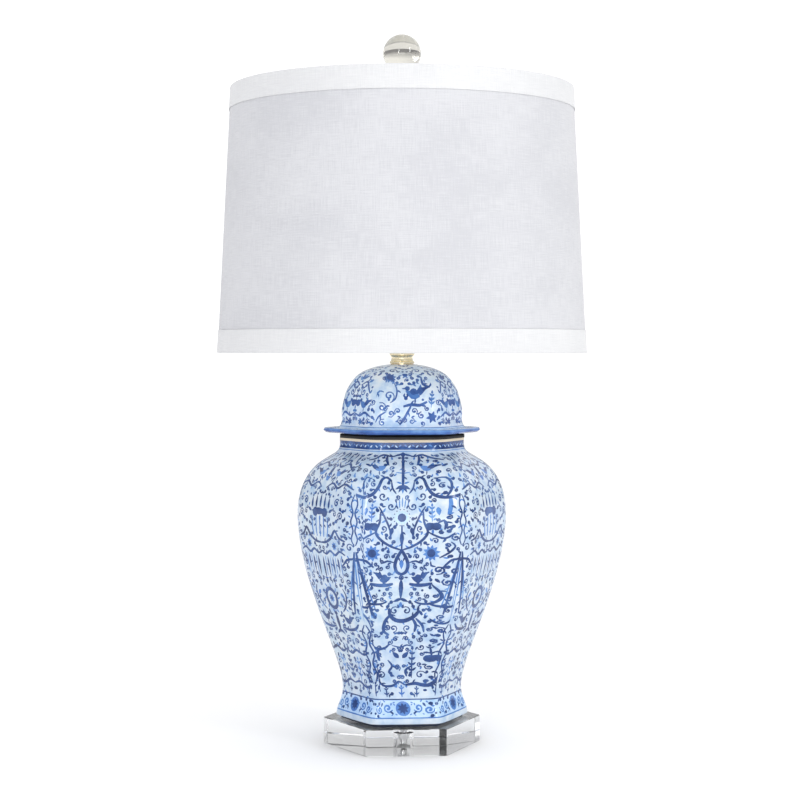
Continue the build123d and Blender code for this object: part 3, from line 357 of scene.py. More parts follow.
# ---------------------------------------------------------------- brushwork on a panel
class Painting:
    """Brush strokes on one panel, as polygons in (across, along) millimetres."""

    def __init__(self, surface, weight=1.42):
        self.surface = surface
        self.weight = weight
        self.polygons = []
        self.spots = []
        self.bands = []
        self.crossing = False

    def polygon(self, points, tone):
        """Adds a polygon. While crossing is set, it may run over the corner into the next panel."""
        points = np.asarray(points, float)
        x, y = points[:, 0], points[:, 1]
        area = 0.5 * np.sum(x * np.roll(y, -1) - y * np.roll(x, -1))
        if abs(area) < 0.01:
            return
        self.polygons.append((points if area > 0 else points[::-1], tone, self.crossing))

    def patch(self, flip, points, tone):
        self.polygon(np.array(points, float) * (flip, 1), tone)

    def clipped(self, points):
        """The part of a polygon that is inside the panel, just short of its corners."""
        inside = self.surface.half(points[:, 1]) - 0.15 - np.abs(points[:, 0])
        if np.all(inside > 0):
            return points
        kept = []
        for i in range(len(points)):
            a, b, fa, fb = points[i - 1], points[i], inside[i - 1], inside[i]
            if (fa > 0) != (fb > 0):
                kept.append(a + (b - a) * fa / (fa - fb))
            if fb > 0:
                kept.append(b)
        return np.array(kept) if len(kept) > 2 else None

    def ribbon(self, path, widths, tone):
        path = np.asarray(path, float)
        widths = np.broadcast_to(np.asarray(widths, float), (len(path),)) * self.weight
        heading = np.gradient(path, axis=0)
        heading /= np.maximum(np.linalg.norm(heading, axis=1, keepdims=True), 1e-9)
        side = np.stack([-heading[:, 1], heading[:, 0]], axis=1) * widths[:, None] / 2
        left, right = path + side, path - side
        for i in range(len(path) - 1):
            corners = np.array([left[i], right[i], right[i + 1], left[i + 1]])
            spokes = corners - corners.mean(axis=0)
            self.polygon(corners[np.argsort(np.arctan2(spokes[:, 1], spokes[:, 0]))], tone)
        for (x, y), width in zip(path[::2], widths[::2]):
            self.spots.append((x, y, width / 2))

    def both(self, draw, *values, **options):
        """Draws something and its mirror image. draw takes a flip of 1 or -1 first."""
        draw(1, *values, **options)
        draw(-1, *values, **options)

    def mirrored(self, x):
        """Draws both sides of the centre line, or only once for something that is on it."""
        return self.both if x else lambda draw, *values: draw(1, *values)

    def vine(self, flip, points, width=1.3, tone=None, taper=0.45, step=2.1, leafy=True):
        """A tapering stroke through points, with small leaves that branch off a long one."""
        points = np.array(points, float) * (flip, 1)
        ends = np.vstack([2 * points[0] - points[1], points, 2 * points[-1] - points[-2]])
        path = []
        for i in range(1, len(ends) - 2):
            a, b, c, d = ends[i - 1 : i + 3]
            count = max(2, int(np.linalg.norm(c - b) / step))
            t = np.linspace(0, 1, count, endpoint=False)[:, None]
            path.append(
                0.5 * (2 * b + (c - a) * t + (2 * a - 5 * b + 4 * c - d) * t**2 + (3 * b - a - 3 * c + d) * t**3)
            )
        path = np.vstack([*path, ends[-2:-1]])
        along = np.linspace(0, 1, len(path))
        self.ribbon(path, width * (taper + (1 - taper) * np.sin(np.pi * along) ** 0.6), INK if tone is None else tone)
        if not leafy:
            return
        for i in range(3, len(path) - 3, 5):
            run, rise = path[i + 1] - path[i - 1]
            turn = 52 if i % 10 == 3 else -52
            angle = math.degrees(math.atan2(rise, run * flip)) + turn
            shade = (INK, BLUE)[i // 5 % 2]
            self.leaf(flip, path[i, 0] * flip, path[i, 1], angle, 3.6 + width * 0.7, 1.9, shade, 0.1)

    def curl(self, flip, x, y, radius, start=0.0, turns=1.15, width=1.2, tone=None, wind=1, dot=True):
        """A spiral that winds in to a dot."""
        tone = INK if tone is None else tone
        count = max(8, int(radius * turns * 2.25))
        t = np.linspace(0, 1, count)
        angle = math.radians(start) + wind * 2 * math.pi * turns * t
        reach = radius * (1 - 0.80 * t**0.8)
        path = np.stack([flip * (x + reach * np.cos(angle)), y + reach * np.sin(angle)], axis=1)
        self.ribbon(path, width * (0.55 + 0.55 * t), tone)
        if dot:
            self.disc(flip, x + reach[-1] * math.cos(angle[-1]), y + reach[-1] * math.sin(angle[-1]), 1.25, tone, 5)
        self.spots.append((flip * x, y, radius * 0.8))

    def disc(self, flip, x, y, radius, tone=None, sides=8, squash=1.0):
        angle = np.linspace(0, 2 * math.pi, sides, endpoint=False) + 0.2
        points = np.stack([flip * (x + radius * np.cos(angle)), y + radius * squash * np.sin(angle)], axis=1)
        self.polygon(points, INK if tone is None else tone)
        self.spots.append((flip * x, y, radius))

    def leaf(self, flip, x, y, angle, length, width, tone=None, curve=0.0):
        """An almond-shaped leaf from its stalk at x, y."""
        t = np.array([0, 0.2, 0.45, 0.75, 1] if length > 6 else [0, 0.25, 0.65, 1])
        bow = curve * length * np.sin(np.pi * t)
        half = width / 2 * np.sin(np.pi * t**0.75)
        c, s = math.cos(math.radians(angle)), math.sin(math.radians(angle))
        top = np.stack([t * length, bow + half], axis=1)
        low = np.stack([t * length, bow - half], axis=1)[-2:0:-1]
        outline = np.vstack([top, low])
        ahead, aside = outline.T
        turned = np.stack([x + ahead * c - aside * s, y + ahead * s + aside * c], axis=1)
        self.polygon(turned * (flip, 1), INK if tone is None else tone)
        self.spots.append((flip * (x + length * c / 2), y + length * s / 2, max(width / 2, length / 3)))

    def flower(self, flip, x, y, radius, petals=9, tone=None, heart=None, core=0.42):
        """A round bloom with separate petals round a dark heart."""
        for i in range(petals):
            self.leaf(flip, x, y, 360 * i / petals + 10, radius, radius * 0.52, BLUE if tone is None else tone)
        self.disc(flip, x, y, radius * core, INK if heart is None else heart, sides=10)
        self.spots.append((flip * x, y, radius))

    def sprig(self, flip, x, y, angle, length, pairs=3, tone=None, size=4.0):
        """A stalk with pairs of leaves and a bud."""
        tone = INK if tone is None else tone
        c, s = math.cos(math.radians(angle)), math.sin(math.radians(angle))
        stalk = [(x, y), (x + length * c * 0.5, y + length * s * 0.5), (x + length * c, y + length * s)]
        self.vine(flip, stalk, 1.0, tone)
        for i in range(pairs):
            at = length * (0.25 + 0.6 * i / max(pairs - 1, 1))
            for turn in (-48, 48):
                self.leaf(flip, x + at * c, y + at * s, angle + turn, size * (1 - 0.12 * i), size * 0.42, tone)
        self.leaf(flip, x + length * c, y + length * s, angle, size * 0.8, size * 0.5, tone)

    def bird(self, flip, x, y, size, tone=None, lean=0):
        """A generic long-tailed bird built from leaf strokes, facing the centre line."""
        tone = BLUE if tone is None else tone
        self.leaf(flip, x + 0.16 * size, y - 0.10 * size, 150 + lean, 0.72 * size, 0.40 * size, tone, 0.06)
        self.leaf(flip, x - 0.05 * size, y + 0.02 * size, 20 + lean, 0.72 * size, 0.24 * size, INK, 0.12)
        self.leaf(flip, x, y, 62 + lean, 0.55 * size, 0.24 * size, tone, -0.12)
        self.leaf(flip, x + 0.12 * size, y - 0.06 * size, 40 + lean, 0.66 * size, 0.18 * size, INK, 0.1)
        self.disc(flip, x - 0.40 * size, y + 0.30 * size, 0.12 * size, INK)
        self.leaf(flip, x - 0.46 * size, y + 0.30 * size, 185, 0.20 * size, 0.09 * size, INK)
        self.leaf(flip, x - 0.05 * size, y - 0.16 * size, 265, 0.30 * size, 0.08 * size, INK)

    def urn(self, flip, x, y, width, height, tone=None):
        """A squat bowl on a foot."""
        tone = INK if tone is None else tone
        self.disc(flip, x - width * 0.27, y, height * 0.55, tone, 10, 0.9)
        self.disc(flip, x + width * 0.27, y, height * 0.55, tone, 10, 0.9)
        self.leaf(flip, x - width / 2, y + height * 0.1, 0, width, height * 0.75, tone)
        self.leaf(flip, x, y - height * 0.3, 270, height * 0.8, height * 0.35, BLUE)

    def fill(self, rows, seed, gap=2.25, biggest=5.2, tries=4200, margin=1.6):
        """Fills what is still bare with small curls, leaves and dots that keep clear of the rest."""
        pick = np.random.default_rng(seed)
        spots = np.array(self.spots) if self.spots else np.zeros((0, 3))
        for _ in range(tries):
            y = pick.uniform(rows[0], rows[1])
            x = pick.uniform(0.2, self.surface.half(y) - margin)
            kind, start, wind = pick.random(), pick.uniform(0, 360), pick.choice([-1, 1])
            room = np.min(np.hypot(spots[:, 0] - x, spots[:, 1] - y) - spots[:, 2]) if len(spots) else biggest
            room = min(room, 2 * x if x > 1 else 9.0, self.surface.half(y) - margin - x + 1.0, biggest)
            if room < gap:
                continue
            before = len(self.spots)
            size = room - 0.3
            if kind < 0.86 and size > 1.8:
                self.both(self.curl, x, y, size, start, 1.05, 1.15, wind=wind)
                c, s = math.cos(math.radians(start)), math.sin(math.radians(start))
                tone = (BLUE, INK)[int(kind * 50) % 2]
                self.both(self.leaf, x + size * c, y + size * s, start + 70 * wind, 3.8, 2.0, tone)
            elif kind < 0.95:
                self.both(self.leaf, x - size / 2, y, start, size * 1.9, size * 0.95, BLUE if kind < 0.92 else INK)
            else:
                self.both(self.disc, x, y, min(1.3, size / 1.6), INK, 6)
            added = self.spots[before:] or [(x, y, size)]
            spots = np.vstack([spots, added, [(x, y, size)], [(-x, y, size)]])


def holds(polygon, x, y):
    """True if the point x, y is inside the polygon."""
    inside = False
    ax, ay = polygon[-1]
    for bx, by in polygon:
        if (ay > y) != (by > y) and x < ax + (bx - ax) * (y - ay) / (by - ay):
            inside = not inside
        ax, ay = bx, by
    return inside


def painted_skin(bm, surface, painting, panel, warp=None, hole=None):
    """Adds one painted panel to the mesh: its outline, its strokes and a grid between, as one sheet."""
    place = bm.verts.layers.float_vector["place"]
    levels = {min(y, surface.length) for low, high, _ in painting.bands for y in (low, high)}
    levels = sorted(levels - {surface.length})
    rows = np.linspace(0, surface.length, int(surface.length / 3.1))
    rows = np.array([y for y in rows if all(abs(y - level) > 0.3 for level in levels)] + levels)
    rows.sort()
    half = surface.half(rows)
    points = []
    for y, edge in zip(rows, half):
        points.append((edge, y))
    columns = 11
    top = [(surface.half(surface.length) * (1 - 2 * i / columns), surface.length) for i in range(1, columns)]
    left = [(-edge, y) for y, edge in zip(rows[::-1], half[::-1])]
    bottom = [(surface.half(0) * (2 * i / columns - 1), 0.0) for i in range(1, columns)]
    outline = points + top + left + bottom
    coords = [Vector(p) for p in outline]
    faces = [list(range(len(outline)))]
    tones = [PLAIN]
    for polygon, tone, crossing in painting.polygons:
        polygon = polygon.copy()
        if warp and not crossing:
            polygon[:, 0] += warp(polygon[:, 0], polygon[:, 1])
        polygon[:, 1] = np.clip(polygon[:, 1], 0.35, surface.length - 0.35)
        if not crossing:
            polygon = painting.clipped(polygon)
        if polygon is None:
            continue
        edge = surface.half(polygon[:, 1])
        if np.all(polygon[:, 0] > edge) or np.all(polygon[:, 0] < -edge):
            continue
        first = len(coords)
        coords += [Vector(p) for p in polygon]
        faces.append(list(range(first, len(coords))))
        tones.append(tone)
    # The cord's hole starts as a disc in the painted-shade tone; sink_hole sets it back into a recess with painted
    # shadow at its end.
    if hole:
        centre, radius = hole
        first = len(coords)
        ring = [2 * math.pi * i / 20 for i in range(20)]
        coords += [Vector((radius * math.cos(a), centre + radius * math.sin(a))) for a in ring]
        faces.append(list(range(first, len(coords))))
        tones.append(PAINTED_SHADE)
    for y in rows[1:-1:2]:
        edge = surface.half(y)
        for share in (0.0, 0.2, 0.4, 0.6, 0.76, 0.86, 0.94):
            for side in (-1, 1) if share else (1,):
                coords.append(Vector((side * share * edge, y)))
    lines = []
    for level in levels:
        first = len(coords)
        coords += [Vector((share * float(surface.half(level)), level)) for share in np.linspace(-1, 1, 15)]
        lines += [(i, i + 1) for i in range(first, len(coords) - 1)]
    found, _, triangles, _, _, owners = geometry.delaunay_2d_cdt(coords, lines, faces, 0, 1e-4)
    flat = np.array([(v.x, v.y) for v in found])
    solid = surface.point(flat[:, 0], flat[:, 1], panel) * MM
    made = [None] * len(found)
    for triangle, owner in zip(triangles, owners):
        if 0 not in owner:
            continue
        across, level = flat[list(triangle)].mean(axis=0)
        strokes = [i for i in owner if i and holds([coords[k] for k in faces[i]], across, level)]
        tone = max((tones[i] for i in strokes), default=PLAIN)
        if tone == PLAIN:
            tone = next((shade for low, high, shade in painting.bands if low < level < high), PLAIN)
        corners = []
        for i in triangle:
            if made[i] is None:
                made[i] = bm.verts.new(solid[i])
                made[i][place] = (flat[i][0], flat[i][1], panel + 1)
            corners.append(made[i])
        face = bm.faces.new(corners)
        face.material_index = tone
        face.smooth = True


def close_skin(bm, surface, loops, seam_tones):
    """Carries the skin's top edge on through further loops of points to its bottom edge, so that it closes.

    loops turns (panel, across) of a top-edge vertex into a list of points in millimetres."""
    place = bm.verts.layers.float_vector["place"]
    edges = [e for e in bm.edges if e.is_boundary]
    top = [e for e in edges if all(v[place][1] > surface.length - 0.01 for v in e.verts)]
    bottom = {v for e in edges for v in e.verts if v[place][1] < 0.01}
    bearing = {v: math.atan2(v.co.y, v.co.x) for v in bottom}
    chains = {}
    for v in {v for e in top for v in e.verts}:
        x, _, panel = v[place]
        chain = [v]
        for point in loops(panel - 1, x):
            new = bm.verts.new(Vector(point) * MM)
            new[place] = (0, 0, 0)
            chain.append(new)
        angle = math.atan2(v.co.y, v.co.x)
        chain.append(min(bottom, key=lambda u: abs(math.remainder(bearing[u] - angle, 2 * math.pi))))
        chains[v] = chain
    for e in top:
        b = e.link_loops[0].vert
        a = e.other_vert(b)
        for i in range(len(chains[a]) - 1):
            face = bm.faces.new([chains[a][i], chains[b][i], chains[b][i + 1], chains[a][i + 1]])
            face.material_index = seam_tones[i]
            face.smooth = True
    bmesh.ops.holes_fill(bm, edges=[e for e in bm.edges if e.is_boundary], sides=0)


def skin_object(name, surface, paintings, loops, seam_tones, glazes, warps=None, hole=None):
    """A closed porcelain piece with its painting as regions of its own surface."""
    mesh = bpy.data.meshes.new(name)
    bm = bmesh.new()
    place = bm.verts.layers.float_vector.new("place")
    for panel, painting in enumerate(paintings):
        warp = warps[panel] if warps else None
        painted_skin(bm, surface, painting, panel, warp, hole if panel == 3 else None)
    bmesh.ops.remove_doubles(bm, verts=bm.verts[:], dist=4e-6)
    bmesh.ops.dissolve_degenerate(bm, dist=1e-7, edges=bm.edges[:])
    if hole:
        sink_hole(bm, place)
    close_skin(bm, surface, loops, seam_tones)
    bmesh.ops.triangulate(bm, faces=[f for f in bm.faces if len(f.verts) > 3])
    uv = bm.loops.layers.uv.new("OFBake")
    normals = []
    for face in bm.faces:
        known = [v[place] for v in face.verts]
        on_skin = all(p[2] > 0 for p in known) and min(v.co.length for v in face.verts) > 0
        centre = face.calc_center_median()
        angle = math.degrees(math.atan2(centre.x, -centre.y)) / 60
        panel = round(angle) % 6
        for loop in face.loops:
            co = loop.vert.co / MM
            turn = -panel * 2 * SIXTH
            across = co.x * math.cos(turn) - co.y * math.sin(turn)
            if on_skin:
                high = 0.02 + 0.9 * (loop.vert[place][1] / surface.length)
            else:
                high = 0.94 + 0.05 * math.hypot(co.x, co.y) / WIDEST_REACH
            loop[uv].uv = ((panel + 0.5 + across / PANEL_ROOM) / 6, high)
        normals.append(on_skin)
    bm.to_mesh(mesh)
    bm.free()
    positions = np.empty(len(mesh.vertices) * 3)
    mesh.vertices.foreach_get("co", positions)
    positions = positions.reshape(-1, 3)
    spots = np.empty(len(mesh.vertices) * 3)
    mesh.attributes["place"].data.foreach_get("vector", spots)
    spots = spots.reshape(-1, 3)
    outward = np.zeros_like(positions)
    for panel in range(6):
        chosen = np.round(spots[:, 2]) == panel + 1
        if chosen.any():
            outward[chosen] = surface.normal(spots[chosen, 0], spots[chosen, 1], panel)
    loops_normals = []
    for polygon in mesh.polygons:
        for i in polygon.vertices:
            on_it = normals[polygon.index]
            loops_normals.append(tuple(outward[i]) if on_it and outward[i].any() else (0.0, 0.0, 0.0))
    mesh.attributes.remove(mesh.attributes["place"])
    mesh.normals_split_custom_set(loops_normals)
    for material in glazes:
        mesh.materials.append(material)
    return placed(name, mesh)


def sink_hole(bm, place):
    """Pushes every painted-shade face inwards, the cord's hole among them, so it is a recess with a wall and a dark
    end.
    """
    faces = [f for f in bm.faces if f.material_index == PAINTED_SHADE]
    pushed = bmesh.ops.extrude_face_region(bm, geom=faces)["geom"]
    moved = [g for g in pushed if isinstance(g, bmesh.types.BMVert)]
    bmesh.ops.translate(bm, vec=Vector((0, -GROMMET_RECESS, 0)), verts=moved)
    for v in moved:
        v[place] = (0, 0, 0)
    bmesh.ops.delete(bm, geom=faces, context="FACES_KEEP_BOUNDARY")


# ---------------------------------------------------------------- the jar's painting
JAR = Hexagon(jar_curve())
FOOT_LINE, WAIST_LINE, NECK_BAND, NECK_RIM = 34.2, 51.2, 286.6, 293.4


def up(z):
    """How far along the jar's profile a level is."""
    return float(JAR.up(z))


def at(points):
    """Turns (across, level) pairs into (across, along the profile) pairs."""
    return [(x, up(z)) for x, z in points]


def jar_borders(p):
    """The bands at the foot and the neck, which every panel has. The band over the bare rim, under the lid's flange,
    is painted shade.
    """
    p.bands = [(up(low), up(high), tone) for low, high, tone in (
        (NECK_RIM + 2.6, 305, PAINTED_SHADE), (NECK_RIM, NECK_RIM + 2.6, BARE), (NECK_BAND, NECK_RIM, INK),
        (NECK_BAND - 1.8, NECK_BAND - 1.0, BLUE),
        (WAIST_LINE - 0.6, WAIST_LINE + 0.6, INK), (FOOT_LINE - 0.6, FOOT_LINE + 0.6, BLUE),
        (FOOT_LINE + 0.6, WAIST_LINE - 0.6, PALE),
    )]
    middle = up((NECK_BAND + NECK_RIM) / 2)
    for i in range(9):
        offset, angle, tone = ((1.4, -40, BLUE), (-1.4, 40, PALE))[i % 2]
        p.both(p.leaf, 1.4 + 3.6 * i, middle + offset, angle, 3.4, 1.5, tone)
    foot = up((FOOT_LINE + WAIST_LINE) / 2)
    p.disc(1, 0, foot, 7.0, BLUE, 20)
    p.flower(1, 0, foot, 5.6, 8, INK, PALE, 0.34)
    p.both(p.curl, 14.5, foot + 0.6, 4.8, 200, 1.2, 1.5, BLUE)
    p.both(p.curl, 23.5, foot - 1.2, 4.4, 20, 1.2, 1.4, BLUE, wind=-1)
    p.both(p.leaf, 9.2, foot - 5.2, 40, 5.0, 2.2, INK)
    p.both(p.leaf, 18.8, foot + 5.6, -60, 4.6, 2.0, INK)
    p.both(p.disc, 29.0, foot + 4.0, 1.4, INK)
    p.both(p.disc, 28.6, foot - 4.6, 1.2, INK)


def corner_column(p):
    """The tall spindle and its legs, which straddle the corner between two panels."""
    p.crossing = True

    def edge(z, inward=0.0):
        y = up(z)
        return (float(JAR.half(y)) - inward, y)

    def strand(points, width, tone=INK):
        p.both(p.vine, [edge(z, inward) for z, inward in points], width, tone, 0.6)

    def leaves(rows, *look):
        for z, inward, angle in rows:
            p.both(p.leaf, *edge(z, inward), angle, *look)

    p.both(p.patch, [edge(196, 0), edge(186, 1.5), edge(168, 2.2), edge(140, 1.1), edge(126, 0)], BLUE)
    strand([(194, 0.9), (178, 3.4), (158, 6.3), (134, 8.8)], 1.9)
    strand([(176, 5.0), (156, 9.4), (140, 12.8)], 1.1, BLUE)
    strand([(188, 0.0), (187, 5.0), (186, 10.0), (180, 16.5)], 1.7)
    strand([(200, 0.8), (206, 3.2), (214, 1.0), (222, 3.4), (230, 1.0), (238, 3.2), (247, 0.8)], 1.2)
    strand([(124, 0.8), (116, 4.2), (106, 1.4), (96, 4.4), (86, 1.4), (76, 4.0), (66, 1.2)], 1.3)
    leaves(((210, 3.4, 150), (218, 2.6, 215), (226, 3.4, 150), (234, 2.6, 215), (244, 2.6, 150)), 3.8, 1.7, BLUE)
    leaves(((118, 4.2, 190), (108, 2.6, 150), (98, 4.4, 190), (88, 2.6, 150), (78, 4.0, 190)), 4.4, 2.0, INK)
    leaves([(z, 4.5, 120) for z in (252, 262, 272)], 7.0, 2.2, BLUE, 0.15)
    leaves([(60, 3.8, 95)], 6.0, 2.6, INK)
    p.crossing = False


def front_panel():
    """The main design: a pendant, two swags, a bloom over a crossing loop, perched birds and scrolls."""
    p = Painting(JAR)
    jar_borders(p)
    corner_column(p)
    # pendant below the neck
    p.leaf(1, 0, up(284.5), 270, 7, 5.0, INK)
    p.both(p.leaf, 1.0, up(283), 330, 7.0, 2.6, INK)
    p.vine(1, at([(0, 281), (0, 268), (0, 252)]), 1.9, INK, 0.8)
    for z, r in ((276, 1.9), (269.5, 1.6), (263.5, 1.4)):
        p.disc(1, 0, up(z), r, INK)
    p.vine(1, at([(-6.5, 267), (0, 266.3), (6.5, 267)]), 1.1, BLUE)
    for angle in (210, 240, 270, 300, 330):
        p.leaf(1, 0, up(255.5), angle, 8.2, 3.0, INK if angle != 270 else BLUE)
    p.both(p.leaf, 1.0, up(257), 20, 5.5, 2.2, BLUE)
    # arcade on the shoulder, with birds below it
    p.both(p.vine, at([(4, 282.5), (10, 280.5), (18, 282), (27, 279), (36, 277.5)]), 1.8)
    p.both(p.vine, at([(14.5, 281), (15, 277.5), (13.6, 273.5)]), 2.0)
    p.both(p.curl, 8.2, up(274.5), 3.0, 90, 1.0, 1.1)
    p.both(p.bird, 23.0, up(270.2), 17, BLUE)
    p.both(p.leaf, 33, up(272), 25, 9, 3.0, INK, 0.1)
    p.both(p.curl, 38.5, up(268.5), 3.6, 300, 1.1, 1.2)
    # swags and their tassels
    swag = [(10.5, 259), (14.5, 262.5), (19, 261), (22.5, 254), (28, 247.5), (37, 244.6), (46, 246), (54, 248.5)]
    p.both(p.vine, at(swag), 2.2, INK, 0.6)
    p.both(p.vine, at([(38, 245), (41, 252), (40.5, 258.5), (36.5, 262.5), (31, 262)]), 1.6)
    p.both(p.curl, 35.0, up(255.2), 3.2, 60, 1.0, 1.3)
    p.both(p.vine, at([(40.5, 244.5), (41, 237), (40, 228.5)]), 2.0, BLUE, 0.7)
    p.both(p.disc, 40.6, up(233.5), 1.5, BLUE)
    p.both(p.vine, at([(10.5, 259), (9.5, 253), (6.0, 248)]), 1.3)
    # the bloom and the stems over it
    for x in (-6.0, -3.0, 0.0, 3.0, 6.0):
        p.vine(1, at([(x * 0.75, 236.2 - abs(x) * 0.3), (x, 244.5 - abs(x) * 0.5)]), 0.8, BLUE)
    p.flower(1, 0, up(226.3), 7.2, 14, PALE, INK, 0.56)
    p.flower(1, 0, up(226.3), 3.9, 7, BLUE, INK, 0.3)
    for i in range(14):
        angle = 2 * math.pi * i / 14
        p.disc(1, 7.6 * math.cos(angle), up(226.3) + 7.6 * math.sin(angle), 0.6, INK, 6)
    # leaf pair and vases beside it
    p.both(p.vine, at([(10, 211.5), (12.8, 220), (17.5, 230), (21.5, 236.5)]), 1.4)
    p.both(p.leaf, 8.6, up(217.5), 285, 9.0, 4.2, INK)
    p.both(p.leaf, 14.5, up(224), 330, 5.0, 2.2, BLUE)
    p.both(p.leaf, 17.5, up(231), 120, 5.0, 2.0, BLUE)
    p.both(p.sprig, 28.0, up(222.5), 92, 13.5, 3, BLUE, 4.6)
    p.both(p.urn, 28.5, up(218.0), 11.5, 7.5, INK)
    p.both(p.vine, at([(33, 221), (37, 223.5), (38.5, 219.5), (37.5, 215)]), 1.6)
    p.both(p.vine, at([(19.5, 232), (20.5, 222), (24, 213), (19, 205.5), (9.5, 199.5), (0, 196.2)]), 1.8)
    p.both(p.vine, at([(44, 212), (38, 207), (31, 209.5), (24, 213)]), 1.4)
    p.both(p.curl, 44.5, up(207.2), 3.8, 80, 1.15, 1.3)
    # spindle, loop and lower spindle on the centre line
    p.leaf(1, 0, up(213.5), 270, 14.5, 4.2, INK)
    p.vine(1, at([(0, 219.5), (0, 196)]), 1.2, INK, 0.8)
    p.both(p.vine, at([(0, 196.2), (-4.6, 188), (-6.0, 181), (-4.0, 175.5), (0, 173.4)]), 2.3, INK, 0.8)
    p.leaf(1, 0, up(187.5), 270, 9.5, 4.2, BLUE)
    p.leaf(1, 0, up(169.5), 270, 22, 4.4, INK)
    p.both(p.leaf, 0.6, up(150.5), 205, 9.0, 3.2, INK)
    p.both(p.leaf, 0.6, up(147), 250, 7.0, 2.8, BLUE)
    # fan blooms
    p.both(p.flower, 27.3, up(193.2), 8.0, 10, BLUE, INK, 0.5)
    p.both(p.vine, at([(34.0, 188.5), (40.0, 193.5), (44.0, 199.5), (41.0, 203.5)]), 1.3)
    p.both(p.curl, 14.0, up(190.2), 3.3, 200, 1.15, 1.3, wind=-1)
    p.both(p.vine, at([(7.0, 184.5), (13.0, 186.0), (18.5, 184.0), (19.5, 189.0)]), 1.4)
    p.both(p.vine, at([(27, 185.5), (27.5, 181.5), (31.5, 180.5)]), 1.4)
    # perched birds on their bars
    p.both(p.bird, 17.5, up(169.0), 16, INK, 12)
    p.both(p.disc, 15.5, up(170.5), 3.1, INK)
    p.both(p.vine, at([(7.5, 164.4), (14, 163.0), (22, 163.2), (29, 164.6)]), 2.5, INK, 0.6)
    p.both(p.curl, 33.5, up(177.2), 4.6, 250, 1.25, 1.5)
    p.both(p.curl, 43.5, up(176.2), 4.4, 70, 1.2, 1.4, wind=-1)
    p.both(p.curl, 38.6, up(165.0), 4.0, 120, 1.2, 1.4)
    p.both(p.curl, 46.0, up(161.0), 3.3, 300, 1.1, 1.2)
    hook = [(28.5, 163.5), (33.5, 157.0), (34.5, 150.5), (29.0, 145.5), (19.0, 145.0), (12.5, 147.5)]
    p.both(p.vine, at(hook), 1.8)
    p.both(p.curl, 24.5, up(152.5), 3.4, 120, 1.15, 1.2)
    p.both(p.curl, 15.5, up(155.0), 2.9, 330, 1.1, 1.1, wind=-1)
    p.both(p.vine, at([(27, 144.5), (34, 142.0), (41, 141.5), (46, 143.5)]), 1.9)
    # leaping scrolls in the lower half, which differ left and right
    leap = [(-10.5, 141), (-9.5, 134.5), (-4.5, 129.5), (3.5, 128.6), (12.0, 132.2), (17.5, 137.5), (20.5, 134)]
    p.vine(1, at(leap), 3.0)
    p.vine(1, at([(11, 131.5), (14.5, 124.5), (13.0, 117.5)]), 2.2)
    p.vine(1, at([(14.5, 131.0), (20.5, 124.0), (22.0, 117.0)]), 1.9)
    p.leaf(1, 16, up(137.5), 80, 6.0, 3.0, INK)
    p.vine(1, at([(-9, 135), (-14, 128), (-15.5, 119), (-10.5, 114.5)]), 2.3)
    p.curl(1, -12.0, up(122.5), 3.6, 200, 1.2, 1.5)
    p.disc(1, -24.5, up(134.0), 3.3, BLUE, 10)
    p.leaf(1, -27.5, up(138.5), 300, 9.0, 3.6, INK)
    p.curl(1, -27.0, up(125.0), 4.0, 40, 1.2, 1.4)
    trail = [(-43, 136), (-36.5, 129), (-30.5, 119), (-31.0, 107.5), (-24.5, 102.0), (-15.5, 101.5), (-10.0, 106.0)]
    p.vine(1, at(trail), 2.3)
    p.vine(1, at([(-20.5, 101.5), (-21.5, 95), (-19.5, 89)]), 2.4)
    p.vine(1, at([(27.0, 130.5), (32.0, 125.5), (38.5, 126.0), (43.0, 130.5)]), 1.5)
    p.curl(1, 33.0, up(118.5), 4.0, 150, 1.2, 1.4, wind=-1)
    for x, z, r, start, wind in (
        (-4.5, 110.8, 3.2, 30, 1), (5.2, 111.2, 3.3, 200, -1), (18.6, 110.2, 3.6, 160, 1), (37.0, 107.0, 3.8, 20, -1),
        (28.0, 108.5, 3.0, 260, 1), (-38.5, 112.0, 3.4, 90, -1), (-40.5, 99.0, 3.0, 250, 1),
    ):
        p.curl(1, x, up(z), r, start, 1.2, 1.3, wind=wind)
    p.vine(1, at([(-8, 104.5), (0, 102.5), (6, 104.8), (12, 103)]), 1.2)
    p.urn(1, 30.5, up(91.0), 19.0, 8.0, INK)
    p.sprig(1, 26.5, up(93.5), 92, 9.5, 2, INK, 4.0)
    p.sprig(1, 10.0, up(72.0), 88, 29.0, 4, INK, 6.0)
    p.vine(1, at([(10.2, 84.0), (4.5, 79.5), (5.5, 73.5)]), 1.8)
    p.sprig(1, -19.5, up(68.0), 100, 19.0, 3, INK, 5.5)
    p.sprig(1, -31.5, up(72.0), 75, 20.0, 3, BLUE, 5.5)
    p.vine(1, at([(-12, 90), (-8.0, 84.0), (-11.0, 78.0), (-6.0, 73.5)]), 1.6)
    p.curl(1, -3.0, up(82.0), 3.4, 300, 1.15, 1.3)
    p.vine(1, at([(-23, 73), (-17.0, 64.8), (-8.0, 64.5), (-2.0, 68.5), (3.5, 65.0)]), 1.7)
    p.vine(1, at([(4.0, 65.0), (13.5, 66.5), (23.0, 64.5), (29.5, 70.5), (33.0, 77.0)]), 2.6)
    p.both(p.sprig, 14.0, up(53.5), 88, 8.0, 2, INK, 3.6)
    p.both(p.sprig, 28.0, up(54.0), 84, 11.0, 2, INK, 4.2)
    p.sprig(1, 0.0, up(53.5), 90, 9.0, 2, BLUE, 4.2)
    p.fill((up(56), up(282)), 11)
    p.fill((up(36), up(50)), 12, 1.5, 2.4, 300)
    return p


